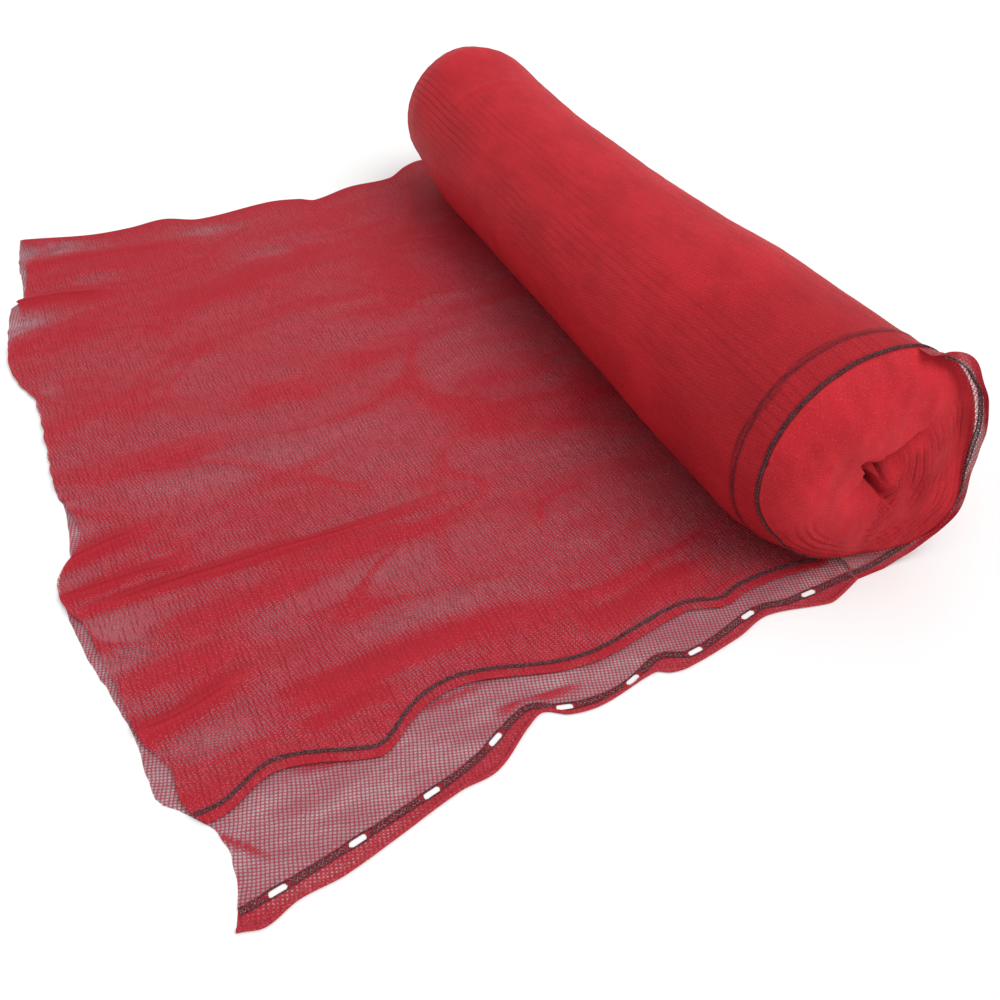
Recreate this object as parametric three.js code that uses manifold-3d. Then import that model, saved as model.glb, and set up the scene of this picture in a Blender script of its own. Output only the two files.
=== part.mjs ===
// A roll of knitted scaffold netting, folded in half along its length and wound up,
// with about a metre of it run out flat from under the roll.
// Millimetres, +Z up. The roll's axis lies along Y, over X = 0. Y = 0 is halfway between the
// selvedge end, at -Y, where the net's two reinforced edges come together, and the folded end.
// The loose end runs towards -X. Z = 0 is the surface that the roll and the loose end lie on.

import Module from "manifold-3d";
import * as THREE from "three";
import { mergeVertices } from "three/addons/utils/BufferGeometryUtils.js";

const wasm = await Module();
wasm.setup();

// The net
const FOLDED_WIDTH = 1430; // from the upper selvedge band to the fold
const CLOTH = 1.4; // the knitted layer, with the slack it lies in
const LAYER_GAP = 1.4; // air between the two layers where they lie flat
const FOLD_OPENS = 24; // how far from the fold the layers are their full distance apart
const BUTT_GAP = 0.4; // between pieces of one cloth that meet edge to edge
const REST_GAP = 0.3; // between a band and the flat cloth that it lies on
const ROUND_GAP = 1.2; // the same on cloth that curves, for the facets of both

// The reinforced selvedge, with its band of dark yarn and the eyelets worked into it
const BAND_WIDTH = 10;
const BAND_THICKNESS = 1.8;
const UPPER_HEM_WIDTH = 15; // the same hem on the upper layer, which curls under
const HEM_CLEARANCE = 20; // the lower layer lies flat this near the upper layer's edge
const BAND_STOPS = 3; // how far a band ends before the cloth it is on does
const BAND_SEAT = 25; // how far to each side the band rests on the highest of the cloth
const EYELET_PITCH = 100;
const EYELET_LENGTH = 22;
const EYELET_WIDTH = 8;
const EYELET_COUNT = 9;
const FIRST_EYELET_X = -880;
const EYELET_RIM = 3; // yarn left on each side of an eyelet
const EYELET_RUN_IN = 8; // how far from an eyelet the band starts to widen

// The roll
const FLAT_SINK = 5; // how far the round is pressed flat at the bottom
const RIM_SHOULDER = 6; // the step in from the outermost turn to the turns inside it
const TURNED_IN_BAND = 48; // from the rim to the upper layer's band, wound one layer down
const BAND_RELIEF = 1.6; // how far that band lifts the turn above it
const AROUND = 40; // facets round the roll

const SELVEDGE_Y = -FOLDED_WIDTH / 2;
const MIDWAY_X = -500; // halfway along the loose end
const NEAR_CUT_X = -950; // close to the cut end
const NEAR_ROLL_X = -60; // close to where the loose end meets the roll

// Radius of the roll along its length, measured from the selvedge end
const ROLL_RADII = [
  { along: 0, radius: 172 },
  { along: 100, radius: 172 },
  { along: 200, radius: 170 },
  { along: 350, radius: 168 },
  { along: 500, radius: 160 },
  { along: 700, radius: 155 },
  { along: 950, radius: 152 },
  { along: 1180, radius: 154 },
  { along: 1270, radius: 155 },
  { along: 1325, radius: 148 },
];

const ROLL_END = ROLL_RADII[ROLL_RADII.length - 1].along; // where the folded end rounds over

// The selvedge end, from the step inside the rim to the eye of the roll:
// share of the rim's radius, and how far the turns stand out past the rim
const SELVEDGE_END = [
  { share: 0.94, out: 11 },
  { share: 0.87, out: 21 },
  { share: 0.78, out: 29 },
  { share: 0.67, out: 34 },
  { share: 0.56, out: 37 },
  { share: 0.45, out: 37 },
  { share: 0.35, out: 36 },
  { share: 0.26, out: 34 },
  { share: 0.17, out: 32 },
  { share: 0.08, out: 30 },
];

// The folded end, from the last full turn to its eye
const FOLDED_END = [
  { share: 0.95, out: 14 },
  { share: 0.85, out: 30 },
  { share: 0.68, out: 44 },
  { share: 0.45, out: 53 },
  { share: 0.2, out: 50 },
];

// The loose end's outline. Distances along Y are from the selvedge end.
const CUT_END = [
  { x: -966, along: 1487 },
  { x: -981, along: 1375 },
  { x: -989, along: 1233 },
  { x: -1013, along: 1216 },
  { x: -1037, along: 1026 },
  { x: -1026, along: 944 },
  { x: -1006, along: 881 },
  { x: -1010, along: 621 },
  { x: -1002, along: 592 },
  { x: -1013, along: 468 },
  { x: -1033, along: 430 },
  { x: -1020, along: 287 },
  { x: -985, along: 122 },
  { x: -977, along: 19 },
  { x: -945, along: -18 },
  { x: -919, along: -68 },
  { x: -920, along: -131 },
  { x: -936, along: -184 },
];
const FOLD_EDGE = [
  { x: -1040, along: 1486 },
  { x: -964, along: 1479 },
  { x: -830, along: 1438 },
  { x: -747, along: 1432 },
  { x: -671, along: 1439 },
  { x: -602, along: 1406 },
  { x: -442, along: 1416 },
  { x: -377, along: 1400 },
  { x: -348, along: 1381 },
  { x: -256, along: 1407 },
  { x: -158, along: 1409 },
  { x: -106, along: 1447 },
  { x: -62, along: 1464 },
  { x: -20, along: 1448 },
  { x: 14, along: 1420 },
  { x: 40, along: 1392 },
];
const UPPER_BAND = [
  { x: -1040, along: -24 },
  { x: -942, along: -22 },
  { x: -906, along: -18 },
  { x: -837, along: 10 },
  { x: -720, along: -23 },
  { x: -698, along: -17 },
  { x: -664, along: 8 },
  { x: -628, along: 25 },
  { x: -576, along: 30 },
  { x: -454, along: -4 },
  { x: -397, along: -9 },
  { x: -257, along: 12 },
  { x: -198, along: -2 },
  { x: -161, along: 7 },
  { x: -91, along: 8 },
  { x: 0, along: -4 },
];
const LOWER_BAND = [
  { x: -1040, along: -162 },
  { x: -925, along: -156 },
  { x: -725, along: -120 },
  { x: -617, along: -93 },
  { x: -537, along: -54 },
  { x: -515, along: -52 },
  { x: -483, along: -69 },
  { x: -434, along: -77 },
  { x: -388, along: -73 },
  { x: -330, along: -53 },
  { x: -285, along: -66 },
  { x: -160, along: -40 },
  { x: -114, along: -47 },
  { x: 0, along: -44 },
];
// The outer edge of the hem past the lower band, which is turned under or down in places
const LOWER_EDGE = [
  { x: -1040, along: -178 },
  { x: -936, along: -177 },
  { x: -903, along: -184 },
  { x: -862, along: -170 },
  { x: -802, along: -164 },
  { x: -650, along: -124 },
  { x: -595, along: -117 },
  { x: -534, along: -77 },
  { x: -508, along: -66 },
  { x: -479, along: -83 },
  { x: -434, along: -88 },
  { x: -347, along: -73 },
  { x: -329, along: -82 },
  { x: -303, along: -85 },
  { x: -214, along: -71 },
  { x: -156, along: -56 },
  { x: -65, along: -75 },
  { x: -46, along: -72 },
  { x: 0, along: -56 },
];
// How far the upper layer's cut end stands back from the lower layer's
const UPPER_SETBACK = [
  { along: -40, back: 0 },
  { along: -12, back: 2 },
  { along: 18, back: 24 },
  { along: 60, back: 26 },
  { along: 110, back: 4 },
  { along: 220, back: 12 },
  { along: 330, back: 14 },
  { along: 370, back: 0 },
  { along: 440, back: 0 },
  { along: 520, back: 16 },
  { along: 600, back: 2 },
  { along: 1060, back: 0 },
  { along: 1130, back: 16 },
  { along: 1205, back: 18 },
  { along: 1230, back: 4 },
  { along: 1300, back: 10 },
  { along: 1400, back: 18 },
  { along: 1450, back: 8 },
];

// The folds that stand up in the upper layer, each from one end to the other
const UPPER_FOLDS = [
  { x1: -1000, along1: 1362, x2: -640, along2: 1330, width: 20, height: 13 },
  { x1: -1045, along1: 1228, x2: -800, along2: 1180, width: 22, height: 16 },
  { x1: -960, along1: 1290, x2: -700, along2: 1300, width: 26, height: 8 },
  { x1: -1045, along1: 1060, x2: -820, along2: 1085, width: 30, height: 9 },
  { x1: -760, along1: 1090, x2: -420, along2: 1150, width: 34, height: 7 },
  { x1: -1030, along1: 790, x2: -760, along2: 840, width: 32, height: 8 },
  { x1: -700, along1: 720, x2: -360, along2: 780, width: 36, height: 7 },
  { x1: -1040, along1: 640, x2: -700, along2: 650, width: 26, height: 8 },
  { x1: -1045, along1: 462, x2: -880, along2: 486, width: 18, height: 14 },
  { x1: -1045, along1: 398, x2: -840, along2: 392, width: 16, height: 13 },
  { x1: -1020, along1: 356, x2: -440, along2: 352, width: 17, height: 15 },
  { x1: -760, along1: 322, x2: -480, along2: 310, width: 20, height: 9 },
  { x1: -930, along1: 258, x2: -660, along2: 296, width: 24, height: 8 },
  { x1: -1000, along1: 200, x2: -800, along2: 214, width: 24, height: 9 },
  { x1: -990, along1: 128, x2: -820, along2: 146, width: 22, height: 16 },
  { x1: -800, along1: 84, x2: -440, along2: 102, width: 22, height: 11 },
  { x1: -800, along1: 40, x2: -640, along2: 48, width: 15, height: 8 },
  { x1: -420, along1: 40, x2: -160, along2: 52, width: 20, height: 7 },
];
// The pleat in the lower layer, beside the strip with the eyelets
const PLEATS = [{ x1: -560, along1: -38, x2: -440, along2: -50, width: 9, height: 9 }];
const PLEAT_ROWS = [-14, 0, 8, 15, 24, 36, 60]; // distances from the seam at which it is drawn
const PLEAT_STARTS = 12; // from the strip to where the pleat stands at its full height

// How far along the roll's axis its rim stands back at each side of the selvedge end
const RIM_TILT = { middle: 4, top: 20, side: 4 };
// How far the rim is drawn in towards the axis, most where the roll's end tucks under at the front
const RIM_DRAW = [
  { angle: -180, draw: 16 },
  { angle: -150, draw: 28 },
  { angle: -120, draw: 22 },
  { angle: -90, draw: 12 },
  { angle: -60, draw: 5 },
  { angle: 0, draw: 3 },
  { angle: 45, draw: 4 },
  { angle: 90, draw: 8 },
  { angle: 135, draw: 12 },
  { angle: 180, draw: 16 },
];
const DRAW_REACH = 110; // how far along the roll the drawing in starts
// The folded end is drawn in at the front too, and stands a little proud on top
const FOLD_DRAW = [
  { angle: -180, draw: 16 },
  { angle: -150, draw: 22 },
  { angle: -120, draw: 14 },
  { angle: -90, draw: 2 },
  { angle: 0, draw: 0 },
  { angle: 60, draw: -8 },
  { angle: 100, draw: -9 },
  { angle: 140, draw: 2 },
  { angle: 180, draw: 16 },
];
const FOLD_DRAW_REACH = 220;
// The net runs on under the folded end: how far, and where that starts past the last full turn
const UNDER_END_X = 34;
const UNDER_END_FROM = 26;
const UNDER_END_OVER = 60;

// The dent at the eye of the roll: two creases that meet in a V
const EYE_CREASES = [
  { x1: -10, z1: 6, x2: 46, z2: 42, width: 13, depth: 30 },
  { x1: -10, z1: 6, x2: 26, z2: -34, width: 12, depth: 26 },
];

// The collar: the lower layer's selvedge, carried round the hidden side of the roll
const COLLAR = [
  { angle: -90, bandOut: 43, hem: 12, flare: 0 },
  { angle: -70, bandOut: 42, hem: 13, flare: 1 },
  { angle: -50, bandOut: 45, hem: 14, flare: 2 },
  { angle: -30, bandOut: 48, hem: 14, flare: 3 },
  { angle: -10, bandOut: 32, hem: 12, flare: 2 },
  { angle: 10, bandOut: 28, hem: 13, flare: 3 },
  { angle: 30, bandOut: 26, hem: 14, flare: 5 },
  { angle: 46, bandOut: 24, hem: 15, flare: 13 },
  { angle: 58, bandOut: 18, hem: 16, flare: 26 },
  { angle: 69, bandOut: 13, hem: 13, flare: 30 },
  { angle: 80, bandOut: 8, hem: 6, flare: 6 },
];

// A smooth line through a table's rows: rows[i][input] gives rows[i][output]
function through(rows, input, output) {
  const sorted = [...rows].sort((a, b) => a[input] - b[input]);
  const last = sorted.length - 1;
  const slope = (i) => {
    const a = sorted[Math.max(i - 1, 0)];
    const b = sorted[Math.min(i + 1, last)];
    return (b[output] - a[output]) / (b[input] - a[input]);
  };
  return (at) => {
    const value = Math.min(Math.max(at, sorted[0][input]), sorted[last][input]);
    let i = 0;
    while (i < last - 1 && value > sorted[i + 1][input]) i += 1;
    const [a, b] = [sorted[i], sorted[i + 1]];
    const span = b[input] - a[input];
    const t = (value - a[input]) / span;
    return (
      a[output] * (1 + 2 * t) * (1 - t) ** 2 +
      slope(i) * span * t * (1 - t) ** 2 +
      b[output] * t * t * (3 - 2 * t) +
      slope(i + 1) * span * t * t * (t - 1)
    );
  };
}

const rollRadius = through(ROLL_RADII, "along", "radius");
const cutX = through(CUT_END, "along", "x");
const foldAlong = through(FOLD_EDGE, "x", "along");
const upperBandAlong = through(UPPER_BAND, "x", "along");
const lowerBandAlong = through(LOWER_BAND, "x", "along");
const lowerEdgeAlong = through(LOWER_EDGE, "x", "along");
const upperSetback = through(UPPER_SETBACK, "along", "back");
const collarBandOut = through(COLLAR, "angle", "bandOut");
const collarHem = through(COLLAR, "angle", "hem");
const collarFlare = through(COLLAR, "angle", "flare");
const rimDraw = through(RIM_DRAW, "angle", "draw");
const foldDraw = through(FOLD_DRAW, "angle", "draw");

const smooth = (t) => {
  const s = Math.min(Math.max(t, 0), 1);
  return s * s * (3 - 2 * s);
};

// Height that a list of folds adds at a place: soft ridges that fade out at both ends
function foldHeight(folds, x, along) {
  let height = 0;
  for (const fold of folds) {
    const run = new THREE.Vector2(fold.x2 - fold.x1, fold.along2 - fold.along1);
    const length = run.length();
    const to = new THREE.Vector2(x - fold.x1, along - fold.along1);
    const share = to.dot(run) / length / length;
    const aside = to.cross(run) / length;
    const fade = smooth((share + 0.12) / 0.3) * smooth((1.12 - share) / 0.5);
    height += fold.height * fade * Math.exp(-((aside / fold.width) ** 2));
  }
  return height;
}

// A closed solid from a grid of points on its outer face: the inner face lies CLOTH behind it.
// point(i, j) gives the outer face, with its outside on the side that i x j points to.
function clothGeometry(columns, rows, point, thickness = CLOTH) {
  const outer = [];
  for (let i = 0; i < columns; i += 1) {
    for (let j = 0; j < rows; j += 1) outer.push(point(i, j));
  }
  const at = (i, j) => outer[i * rows + j];
  const inner = [];
  for (let i = 0; i < columns; i += 1) {
    for (let j = 0; j < rows; j += 1) {
      const alongI = at(Math.min(i + 1, columns - 1), j).clone().sub(at(Math.max(i - 1, 0), j));
      const alongJ = at(i, Math.min(j + 1, rows - 1)).clone().sub(at(i, Math.max(j - 1, 0)));
      const outside = alongI.cross(alongJ).normalize();
      inner.push(at(i, j).clone().addScaledVector(outside, -thickness));
    }
  }
  const behind = outer.length;
  const index = [];
  const quad = (a, b, c, d) => index.push(a, b, c, a, c, d);
  for (let i = 0; i < columns - 1; i += 1) {
    for (let j = 0; j < rows - 1; j += 1) {
      const [a, b, c, d] = [i * rows + j, (i + 1) * rows + j, (i + 1) * rows + j + 1, i * rows + j + 1];
      quad(a, b, c, d);
      quad(behind + d, behind + c, behind + b, behind + a);
    }
  }
  for (let i = 0; i < columns - 1; i += 1) {
    const [first, next] = [i * rows, (i + 1) * rows];
    quad(behind + first, behind + next, next, first);
    quad(first + rows - 1, next + rows - 1, behind + next + rows - 1, behind + first + rows - 1);
  }
  const end = (columns - 1) * rows;
  for (let j = 0; j < rows - 1; j += 1) {
    quad(j, j + 1, behind + j + 1, behind + j);
    quad(behind + end + j, behind + end + j + 1, end + j + 1, end + j);
  }
  return bufferGeometry([...outer, ...inner], index);
}

function bufferGeometry(points, index) {
  const geometry = new THREE.BufferGeometry();
  const position = new Float32Array(points.flatMap((p) => [p.x, p.y, p.z]));
  geometry.setAttribute("position", new THREE.BufferAttribute(position, 3));
  geometry.setIndex(index);
  geometry.computeVertexNormals();
  return geometry;
}

// The roll's outermost turn: a point at an angle round the axis, from +X towards +Z
function rimAlong(angle) {
  return RIM_TILT.middle + RIM_TILT.top * Math.sin(angle) - RIM_TILT.side * Math.cos(angle);
}

function turnRadius(angle, along) {
  const degrees = THREE.MathUtils.radToDeg(Math.atan2(Math.sin(angle), Math.cos(angle)));
  const near = Math.max(0, (DRAW_REACH - along) / DRAW_REACH);
  const band = Math.exp(-(((along - rimAlong(angle) - TURNED_IN_BAND) / BAND_WIDTH) ** 2));
  const far = smooth((along - ROLL_END + FOLD_DRAW_REACH) / FOLD_DRAW_REACH);
  const drawn = rimDraw(degrees) * near * near + foldDraw(degrees) * far;
  return rollRadius(along) - drawn + BAND_RELIEF * band;
}

function turnPoint(angle, along, inset = 0) {
  const radius = turnRadius(angle, along) - inset;
  const height = rollRadius(along) - FLAT_SINK + radius * Math.sin(angle);
  return new THREE.Vector3(
    radius * Math.cos(angle),
    SELVEDGE_Y + along,
    Math.max(height, 0),
  );
}

function creaseDepth(x, z) {
  let depth = 0;
  for (const crease of EYE_CREASES) {
    const run = new THREE.Vector2(crease.x2 - crease.x1, crease.z2 - crease.z1);
    const to = new THREE.Vector2(x - crease.x1, z - crease.z1);
    const share = Math.min(Math.max(to.dot(run) / run.lengthSq(), 0), 1);
    const away = to.addScaledVector(run, -share).length();
    depth = Math.max(depth, crease.depth * Math.exp(-((away / crease.width) ** 2)));
  }
  return depth;
}

// The wound roll, as rings from the eye at the selvedge end to the eye at the folded end
function woundRoll() {
  const rings = [];
  const angles = Array.from({ length: AROUND }, (_, i) => ((i + 0.5) / AROUND) * 2 * Math.PI);
  const rimRadius = rollRadius(0);
  const axisZ = rimRadius - FLAT_SINK;
  const eyeShares = [...SELVEDGE_END].reverse();
  for (const row of eyeShares) {
    rings.push(
      angles.map((angle) => {
        const rim = turnRadius(angle, rimAlong(angle)) - RIM_SHOULDER;
        const x = rim * row.share * Math.cos(angle);
        const z = rim * row.share * Math.sin(angle);
        const y = SELVEDGE_Y + rimAlong(angle) * row.share - row.out + creaseDepth(x, z);
        return new THREE.Vector3(x, y, axisZ + z);
      }),
    );
  }
  rings.push(angles.map((angle) => turnPoint(angle, rimAlong(angle), RIM_SHOULDER)));
  rings.push(angles.map((angle) => turnPoint(angle, rimAlong(angle))));
  const afterRim = [14, 34, TURNED_IN_BAND, 62, 85];
  for (const step of afterRim) {
    rings.push(angles.map((angle) => turnPoint(angle, rimAlong(angle) + step)));
  }
  for (const along of [150, 240, 350, 450, 560, 700, 850, 1000, 1120, 1200, 1260, 1300, 1325]) {
    rings.push(angles.map((angle) => turnPoint(angle, along)));
  }
  const farZ = rollRadius(ROLL_END) - FLAT_SINK;
  for (const row of FOLDED_END) {
    rings.push(
      angles.map((angle) => {
        const radius = turnRadius(angle, ROLL_END) * row.share;
        const height = Math.max(farZ + radius * Math.sin(angle), 0);
        return new THREE.Vector3(radius * Math.cos(angle), SELVEDGE_Y + ROLL_END + row.out, height);
      }),
    );
  }
  const nearEye = new THREE.Vector3(0, SELVEDGE_Y - SELVEDGE_END.at(-1).out + creaseDepth(0, 0), axisZ);
  const farEye = new THREE.Vector3(0, SELVEDGE_Y + ROLL_END + FOLDED_END.at(-1).out - 4, farZ);

  const points = [nearEye, ...rings.flat(), farEye];
  const index = [];
  const ring = (r, i) => 1 + r * AROUND + (i % AROUND);
  for (let i = 0; i < AROUND; i += 1) {
    index.push(0, ring(0, i), ring(0, i + 1));
    index.push(points.length - 1, ring(rings.length - 1, i + 1), ring(rings.length - 1, i));
    for (let r = 0; r < rings.length - 1; r += 1) {
      const [a, b, c, d] = [ring(r, i), ring(r + 1, i), ring(r + 1, i + 1), ring(r, i + 1)];
      index.push(a, b, c, a, c, d);
    }
  }
  return bufferGeometry(points, index);
}

// Where the roll's outermost turn comes down to a height above the surface, on the loose side.
// Past the roll's folded end nothing is in the way, and the net runs on underneath.
function rollFoot(along, height) {
  const radius = rollRadius(Math.max(along, 0));
  const axisZ = radius - FLAT_SINK;
  const foot = -Math.sqrt(radius ** 2 - (axisZ - height) ** 2) - BUTT_GAP;
  return foot + (UNDER_END_X - foot) * smooth((along - ROLL_END - UNDER_END_FROM) / UNDER_END_OVER);
}

const upperTop = (x, along) =>
  2 * CLOTH + LAYER_GAP + foldHeight(UPPER_FOLDS, x, along) * smooth((-60 - x) / 90);

// Rows across the net for the upper layer: close together at its folds, wider elsewhere
const ROW_STEP = 62;
const ROWS_FROM = 62;
const ROWS_TO = 1318;
function upperRows() {
  const wanted = [ROWS_FROM, ROWS_TO];
  for (let along = ROWS_FROM + ROW_STEP; along < ROWS_TO; along += ROW_STEP) wanted.push(along);
  for (const fold of UPPER_FOLDS.filter((one) => one.height > 8)) {
    const middle = (fold.along1 + fold.along2) / 2;
    wanted.push(middle, middle - fold.width, middle + fold.width);
  }
  const kept = [];
  for (const along of wanted.sort((a, b) => a - b)) {
    const apart = kept.length === 0 || along - kept.at(-1) > 15;
    if (apart && along >= ROWS_FROM && along <= ROWS_TO) kept.push(along);
  }
  return kept;
}

// The seam where the strip with the eyelets leaves the lower layer: beside the band, and under
// the roll's rim where the band comes to the roll
const SEAM_PAST_BAND = 12;
const SEAM_UNDER_RIM = 25;
const SEAM_TURNS = { fromX: -150, toX: -70 };
function stripSeam(x) {
  const beside = lowerBandAlong(x) + SEAM_PAST_BAND;
  const turned = smooth((x - SEAM_TURNS.fromX) / (SEAM_TURNS.toX - SEAM_TURNS.fromX));
  return beside + (SEAM_UNDER_RIM - beside) * turned;
}

// A manifold solid from a closed geometry, and back
function toManifold(geometry) {
  const bare = geometry.clone();
  bare.deleteAttribute("normal");
  const merged = mergeVertices(bare, 1e-4);
  return new wasm.Manifold(
    new wasm.Mesh({
      numProp: 3,
      vertProperties: merged.getAttribute("position").array,
      triVerts: new Uint32Array(merged.index.array),
    }),
  );
}

function fromManifold(solid) {
  const mesh = solid.getMesh();
  const geometry = new THREE.BufferGeometry();
  geometry.setAttribute("position", new THREE.BufferAttribute(mesh.vertProperties, 3));
  geometry.setIndex(new THREE.BufferAttribute(mesh.triVerts, 1));
  geometry.computeVertexNormals();
  return geometry;
}

// All that lies on one side of the seam, low enough to leave the upper layer alone
const SEAM_SPAN = { from: -1100, to: 60, step: 12 };
const SEAM_REACH = 700;
function besideSeam(offset, towardsEdge) {
  const outline = new THREE.Shape();
  for (let x = SEAM_SPAN.from; x <= SEAM_SPAN.to; x += SEAM_SPAN.step) {
    const y = SELVEDGE_Y + stripSeam(x) + offset;
    if (x === SEAM_SPAN.from) outline.moveTo(x, y);
    else outline.lineTo(x, y);
  }
  const farY = SELVEDGE_Y + (towardsEdge ? -SEAM_REACH : SEAM_REACH);
  outline.lineTo(SEAM_SPAN.to, farY);
  outline.lineTo(SEAM_SPAN.from, farY);
  const below = 20;
  const depth = below + CLOTH + LAYER_GAP / 2;
  const block = new THREE.ExtrudeGeometry(outline, { depth, bevelEnabled: false });
  block.deleteAttribute("uv");
  block.translate(0, 0, -below);
  return toManifold(block);
}

function pleatHeight(x, along) {
  const fromSeam = smooth((along - stripSeam(x)) / PLEAT_STARTS);
  const fromHem = smooth((upperBandAlong(x) - UPPER_HEM_WIDTH - along) / HEM_CLEARANCE - 1);
  return foldHeight(PLEATS, x, along) * fromSeam * fromHem;
}

// A place on the loose end: a share of the way from the cut end to a given end, on a line
// across the net that may itself wander with x
const LINE_PASSES = 7; // enough for the place to settle
function onLine(share, line, cut, end) {
  let x = MIDWAY_X;
  for (let pass = 0; pass < LINE_PASSES; pass += 1) {
    const along = line(x);
    x = cut(along) * (1 - share) + end(along) * share;
  }
  return { x, along: line(x) };
}

// The loose end: both layers and the fold between them, as one section that turns back on itself
function looseEnd() {
  const columns = 20;
  const turnRadiusOut = CLOTH + LAYER_GAP / 2;
  const lines = [];
  for (const past of PLEAT_ROWS) {
    lines.push({ line: (x) => stripSeam(x) + past, height: pleatHeight, cut: cutX });
  }
  for (const share of [0.07, 0.18, 0.3, 0.44, 0.58, 0.72, 0.86, 1]) {
    const line = (x) => {
      const first = stripSeam(x) + PLEAT_ROWS.at(-1);
      return first + (foldAlong(x) - FOLD_OPENS - first) * share;
    };
    lines.push({ line, height: () => 0, cut: cutX });
  }
  for (const degrees of [-60, -25, 0, 25, 60]) {
    const turn = THREE.MathUtils.degToRad(degrees);
    const line = (x) => foldAlong(x) - turnRadiusOut * (1 - Math.cos(turn));
    lines.push({ line, height: () => turnRadiusOut * (1 + Math.sin(turn)), cut: cutX });
  }
  const upperCut = (along) => cutX(along) + upperSetback(along);
  for (const share of [1, 0.72, 0.48, 0.24]) {
    const line = (x) => ROWS_TO + (foldAlong(x) - FOLD_OPENS - ROWS_TO) * share;
    lines.push({ line, height: upperTop, cut: upperCut });
  }
  for (const along of upperRows().reverse()) {
    lines.push({ line: () => along, height: upperTop, cut: upperCut });
  }
  for (const past of [-18, 0, UPPER_HEM_WIDTH]) {
    lines.push({ line: (x) => upperBandAlong(x) - past, height: upperTop, cut: upperCut });
  }
  const point = (i, j) => {
    const { line, height, cut } = lines[j];
    const lift = cut === cutX ? CLOTH : 0;
    const end = (along) => rollFoot(along, height(NEAR_ROLL_X, along) + lift);
    const { x, along } = onLine(1 - i / (columns - 1), line, cut, end);
    return new THREE.Vector3(x, SELVEDGE_Y + along, height(x, along));
  };
  const whole = toManifold(clothGeometry(columns, lines.length, point));
  return fromManifold(whole.subtract(besideSeam(BUTT_GAP, true)));
}

// The eyelets along the lower band, each with its place and the way that the band runs there
function eyelets() {
  return Array.from({ length: EYELET_COUNT }, (_, n) => {
    const x = FIRST_EYELET_X + n * EYELET_PITCH;
    const rise = lowerBandAlong(x + 5) - lowerBandAlong(x - 5);
    return { x, y: SELVEDGE_Y + lowerBandAlong(x), turn: Math.atan2(rise, 10) };
  });
}

function cutEyelets(geometry) {
  let solid = toManifold(geometry);
  const straight = (EYELET_LENGTH - EYELET_WIDTH) / 2;
  const outline = new THREE.Shape();
  outline.absarc(straight, 0, EYELET_WIDTH / 2, -Math.PI / 2, Math.PI / 2);
  outline.absarc(-straight, 0, EYELET_WIDTH / 2, Math.PI / 2, (3 * Math.PI) / 2);
  for (const eyelet of eyelets()) {
    const punch = new THREE.ExtrudeGeometry(outline, { depth: 60, bevelEnabled: false, curveSegments: 4 });
    punch.deleteAttribute("uv");
    punch.rotateZ(eyelet.turn);
    punch.translate(eyelet.x, eyelet.y, -20);
    solid = solid.subtract(toManifold(punch));
  }
  return fromManifold(solid);
}

// The flat strip of the lower layer's selvedge, out to the edge of its hem
const STRIP_END_X = -1;
const PAST_SEAM = 14; // spare cloth, trimmed off along the seam
function eyeletStrip() {
  const columns = 32;
  const lines = [
    lowerEdgeAlong,
    (x) => lowerBandAlong(x) - BAND_WIDTH / 2,
    (x) => lowerBandAlong(x) + BAND_WIDTH / 2,
    (x) => stripSeam(x) + PAST_SEAM,
  ];
  const point = (i, j) => {
    const { x, along } = onLine(i / (columns - 1), lines[j], cutX, () => STRIP_END_X);
    return new THREE.Vector3(x, SELVEDGE_Y + along, CLOTH);
  };
  const whole = toManifold(clothGeometry(columns, lines.length, point));
  return cutEyelets(fromManifold(whole.subtract(besideSeam(0, false))));
}

// A flat band of yarn along a line on the flat cloth, its width across that line
function flatBand(columns, line, height, fromX, toX, width) {
  const point = (i, j) => {
    const x = fromX + ((toX - fromX) * i) / (columns - 1);
    const across = new THREE.Vector2(-(line(x + 5) - line(x - 5)), 10).normalize();
    const side = (j - 0.5) * width(x);
    const [px, along] = [x + across.x * side, line(x) + across.y * side];
    const top = height(x, line(x)) + REST_GAP + BAND_THICKNESS;
    return new THREE.Vector3(px, SELVEDGE_Y + along, top);
  };
  return clothGeometry(columns, 2, point, BAND_THICKNESS);
}

// The collar: from the surface under the roll's end, round the hidden side, to the rim at the top
const COLLAR_START = THREE.MathUtils.degToRad(-90);
const COLLAR_END = THREE.MathUtils.degToRad(80);
const COLLAR_COLUMNS = 26;
const COLLAR_OPENS_OVER = 40; // how far past the rim the collar reaches its full radius
function collarPoint(share, out) {
  const angle = COLLAR_START + (COLLAR_END - COLLAR_START) * share;
  const degrees = THREE.MathUtils.radToDeg(angle);
  const rim = rimAlong(angle);
  const atRim = turnRadius(angle, rim);
  const opened = rollRadius(0) + collarFlare(degrees);
  const radius = atRim + (opened - atRim) * smooth(out / COLLAR_OPENS_OVER);
  const axisZ = rollRadius(0) - FLAT_SINK;
  return new THREE.Vector3(
    radius * Math.cos(angle),
    SELVEDGE_Y + rim - BUTT_GAP - out,
    Math.max(axisZ + radius * Math.sin(angle), 0),
  );
}

// A place behind the collar's outer face, on the side that looks in at the roll's end
function behindCollar(share, out, depth) {
  const round = collarPoint(share + 0.01, out).sub(collarPoint(share - 0.01, out));
  const outwards = collarPoint(share, out + 2).sub(collarPoint(share, out - 2));
  const place = collarPoint(share, out).addScaledVector(outwards.cross(round).normalize(), depth);
  place.z = Math.max(place.z, depth);
  return place;
}

// How far the band and the outer edge stand out past the rim at a place round the collar
function collarLines(share) {
  const angle = COLLAR_START + (COLLAR_END - COLLAR_START) * share;
  const degrees = THREE.MathUtils.radToDeg(angle);
  const band = collarBandOut(degrees) + rimAlong(angle);
  return { band, edge: band + collarHem(degrees) };
}

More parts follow.
